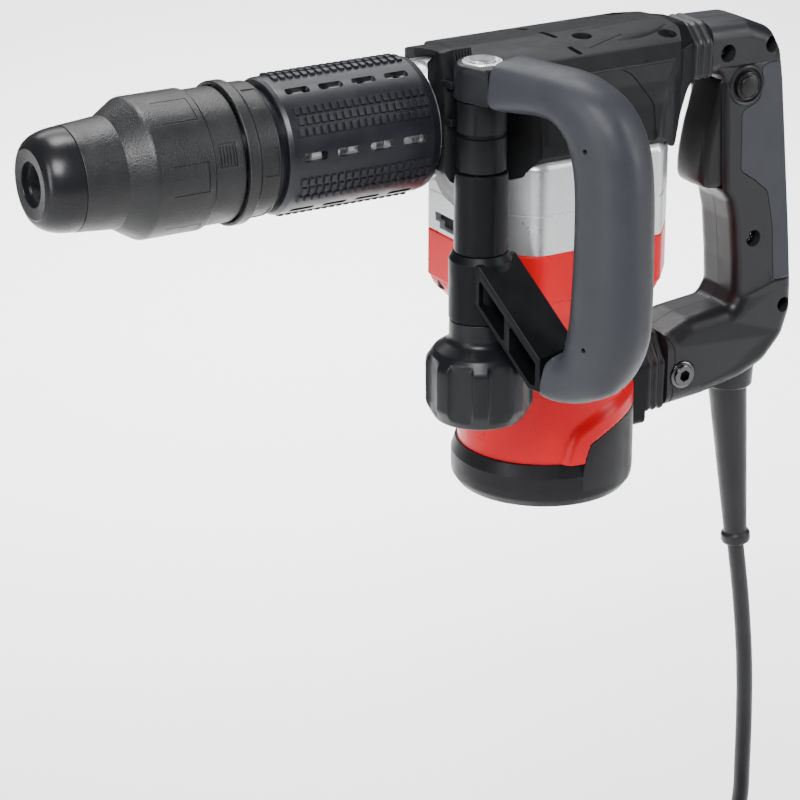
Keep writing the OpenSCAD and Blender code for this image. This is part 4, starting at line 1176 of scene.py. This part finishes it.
def make_pivot():
    """Bracket behind the base cap, with its tongue, and the socket-head pivot bolt."""
    outline = fillet(mirrored([(-16, -172, 4), (-17.2, -140, 7), (-8, -125.6, 6)]), 5, 6)
    arm = slab("bracket_skin", outline, 290, 316, section)
    add(arm, slab("tongue", ((-9, -163), (-9, -136), (9, -136), (9, -163)), 310, 346, section))
    cut(arm, rod("motor", (MOTOR_X, 0, -200), (MOTOR_X, 0, -90), 45.3, steps=160))
    cut(arm, rod("pin", (PIVOT.x, -20, PIVOT.z), (PIVOT.x, 20, PIVOT.z), 5.05))
    dress(arm, "machine", "cover_plastic", ["pivot_bracket"], bevel=0.3)
    bolt = lathe("pivot_bolt_skin", [(-20.2, 0), (-20.2, 5.0), (-19.9, 5.4), (-18.9, 5.5), (-18.8, 6.6),
        (-18.5, 7), (-17.9, 7), (-17.8, 5), (17.8, 5), (17.9, 7), (18.5, 7), (18.9, 6), (19.0, 0)], "Y",
        PIVOT, 64)
    turns = [math.tau * (k + 0.3) / 6 for k in range(6)]
    hexagon = [(PIVOT.x + 3.1 * math.cos(t), PIVOT.z + 3.1 * math.sin(t)) for t in turns]
    cut(bolt, slab("socket", hexagon, -22, -16.6, side))
    dress(bolt, "machine", "screw_steel", ["pivot_bolt"], bevel=0.15)


# ---------- lights and floor ----------
def area_light(name, place, target, size, power, spread=180):
    data = bpy.data.lights.new(name, "AREA")
    data.shape, data.size, data.size_y = "RECTANGLE", size[0], size[1]
    data.energy, data.spread = power, math.radians(spread)
    light = bpy.data.objects.new(name, data)
    bpy.context.scene.collection.objects.link(light)
    light.location = place
    light.rotation_mode = "QUATERNION"
    light.rotation_quaternion = (Vector(target) - Vector(place)).to_track_quat("-Z", "Y")


def make_studio():
    """A pale floor with a white surround, and large soft lights."""
    floor = solid("studio_floor", [(x, y, FLOOR_Z - z) for z in (0, 5) for x in (-9000, 9000)
        for y in (-9000, 9000)], [(0, 1, 3, 2), (4, 6, 7, 5), (0, 4, 5, 1), (2, 3, 7, 6), (0, 2, 6, 4),
        (1, 5, 7, 3)])
    paper = bpy.data.materials.new("studio_paper")
    paper.use_nodes = True
    shader = paper.node_tree.nodes["Principled BSDF"]
    shader.inputs["Base Color"].default_value = (0.93, 0.93, 0.93, 1)
    shader.inputs["Roughness"].default_value = 0.9
    floor.data.materials.append(paper)
    world = bpy.data.worlds.new("studio")
    bpy.context.scene.world = world
    world.use_nodes = True
    world.node_tree.nodes["Background"].inputs["Color"].default_value = (1, 1, 1, 1)
    world.node_tree.nodes["Background"].inputs["Strength"].default_value = 0.16
    middle = (0.2, 0, -0.05)
    area_light("key", (-0.7, -1.15, 1.25), middle, (0.8, 0.8), 44)
    area_light("left", (-1.6, -0.5, 0.4), middle, (0.5, 1.4), 19)
    area_light("right", (1.5, -1.1, 0.5), middle, (0.5, 1.5), 20)
    area_light("back", (0.6, 1.4, 1.1), middle, (1.4, 0.6), 11)
    area_light("backdrop near", (0.55, 0.75, 1.0), (0.55, 0.75, -0.5), (1.2, 1.2), 22, 80)
    area_light("backdrop far", (1.2, 2.0, 1.2), (1.2, 2.0, -0.5), (2.0, 2.0), 45, 90)


# ---------- making ----------
make_camera()
make_materials()
make_cord_parts()
make_nose()
make_locking_sleeve()
make_index_ring()
make_grip_sleeve()
make_barrel()
make_clamp()
make_post_top()
make_loop_block()
make_loop_grip()
make_spacer()
make_strut()
make_knob()
make_top_cover()
make_cover_screws()
make_side_panels()
make_gear_housing()
make_motor_housing()
make_base_cap()
make_feet()
make_rear_handle()
make_handle_screws()
make_trigger()
make_lock_button()
make_bellows()
make_pivot()
make_studio()
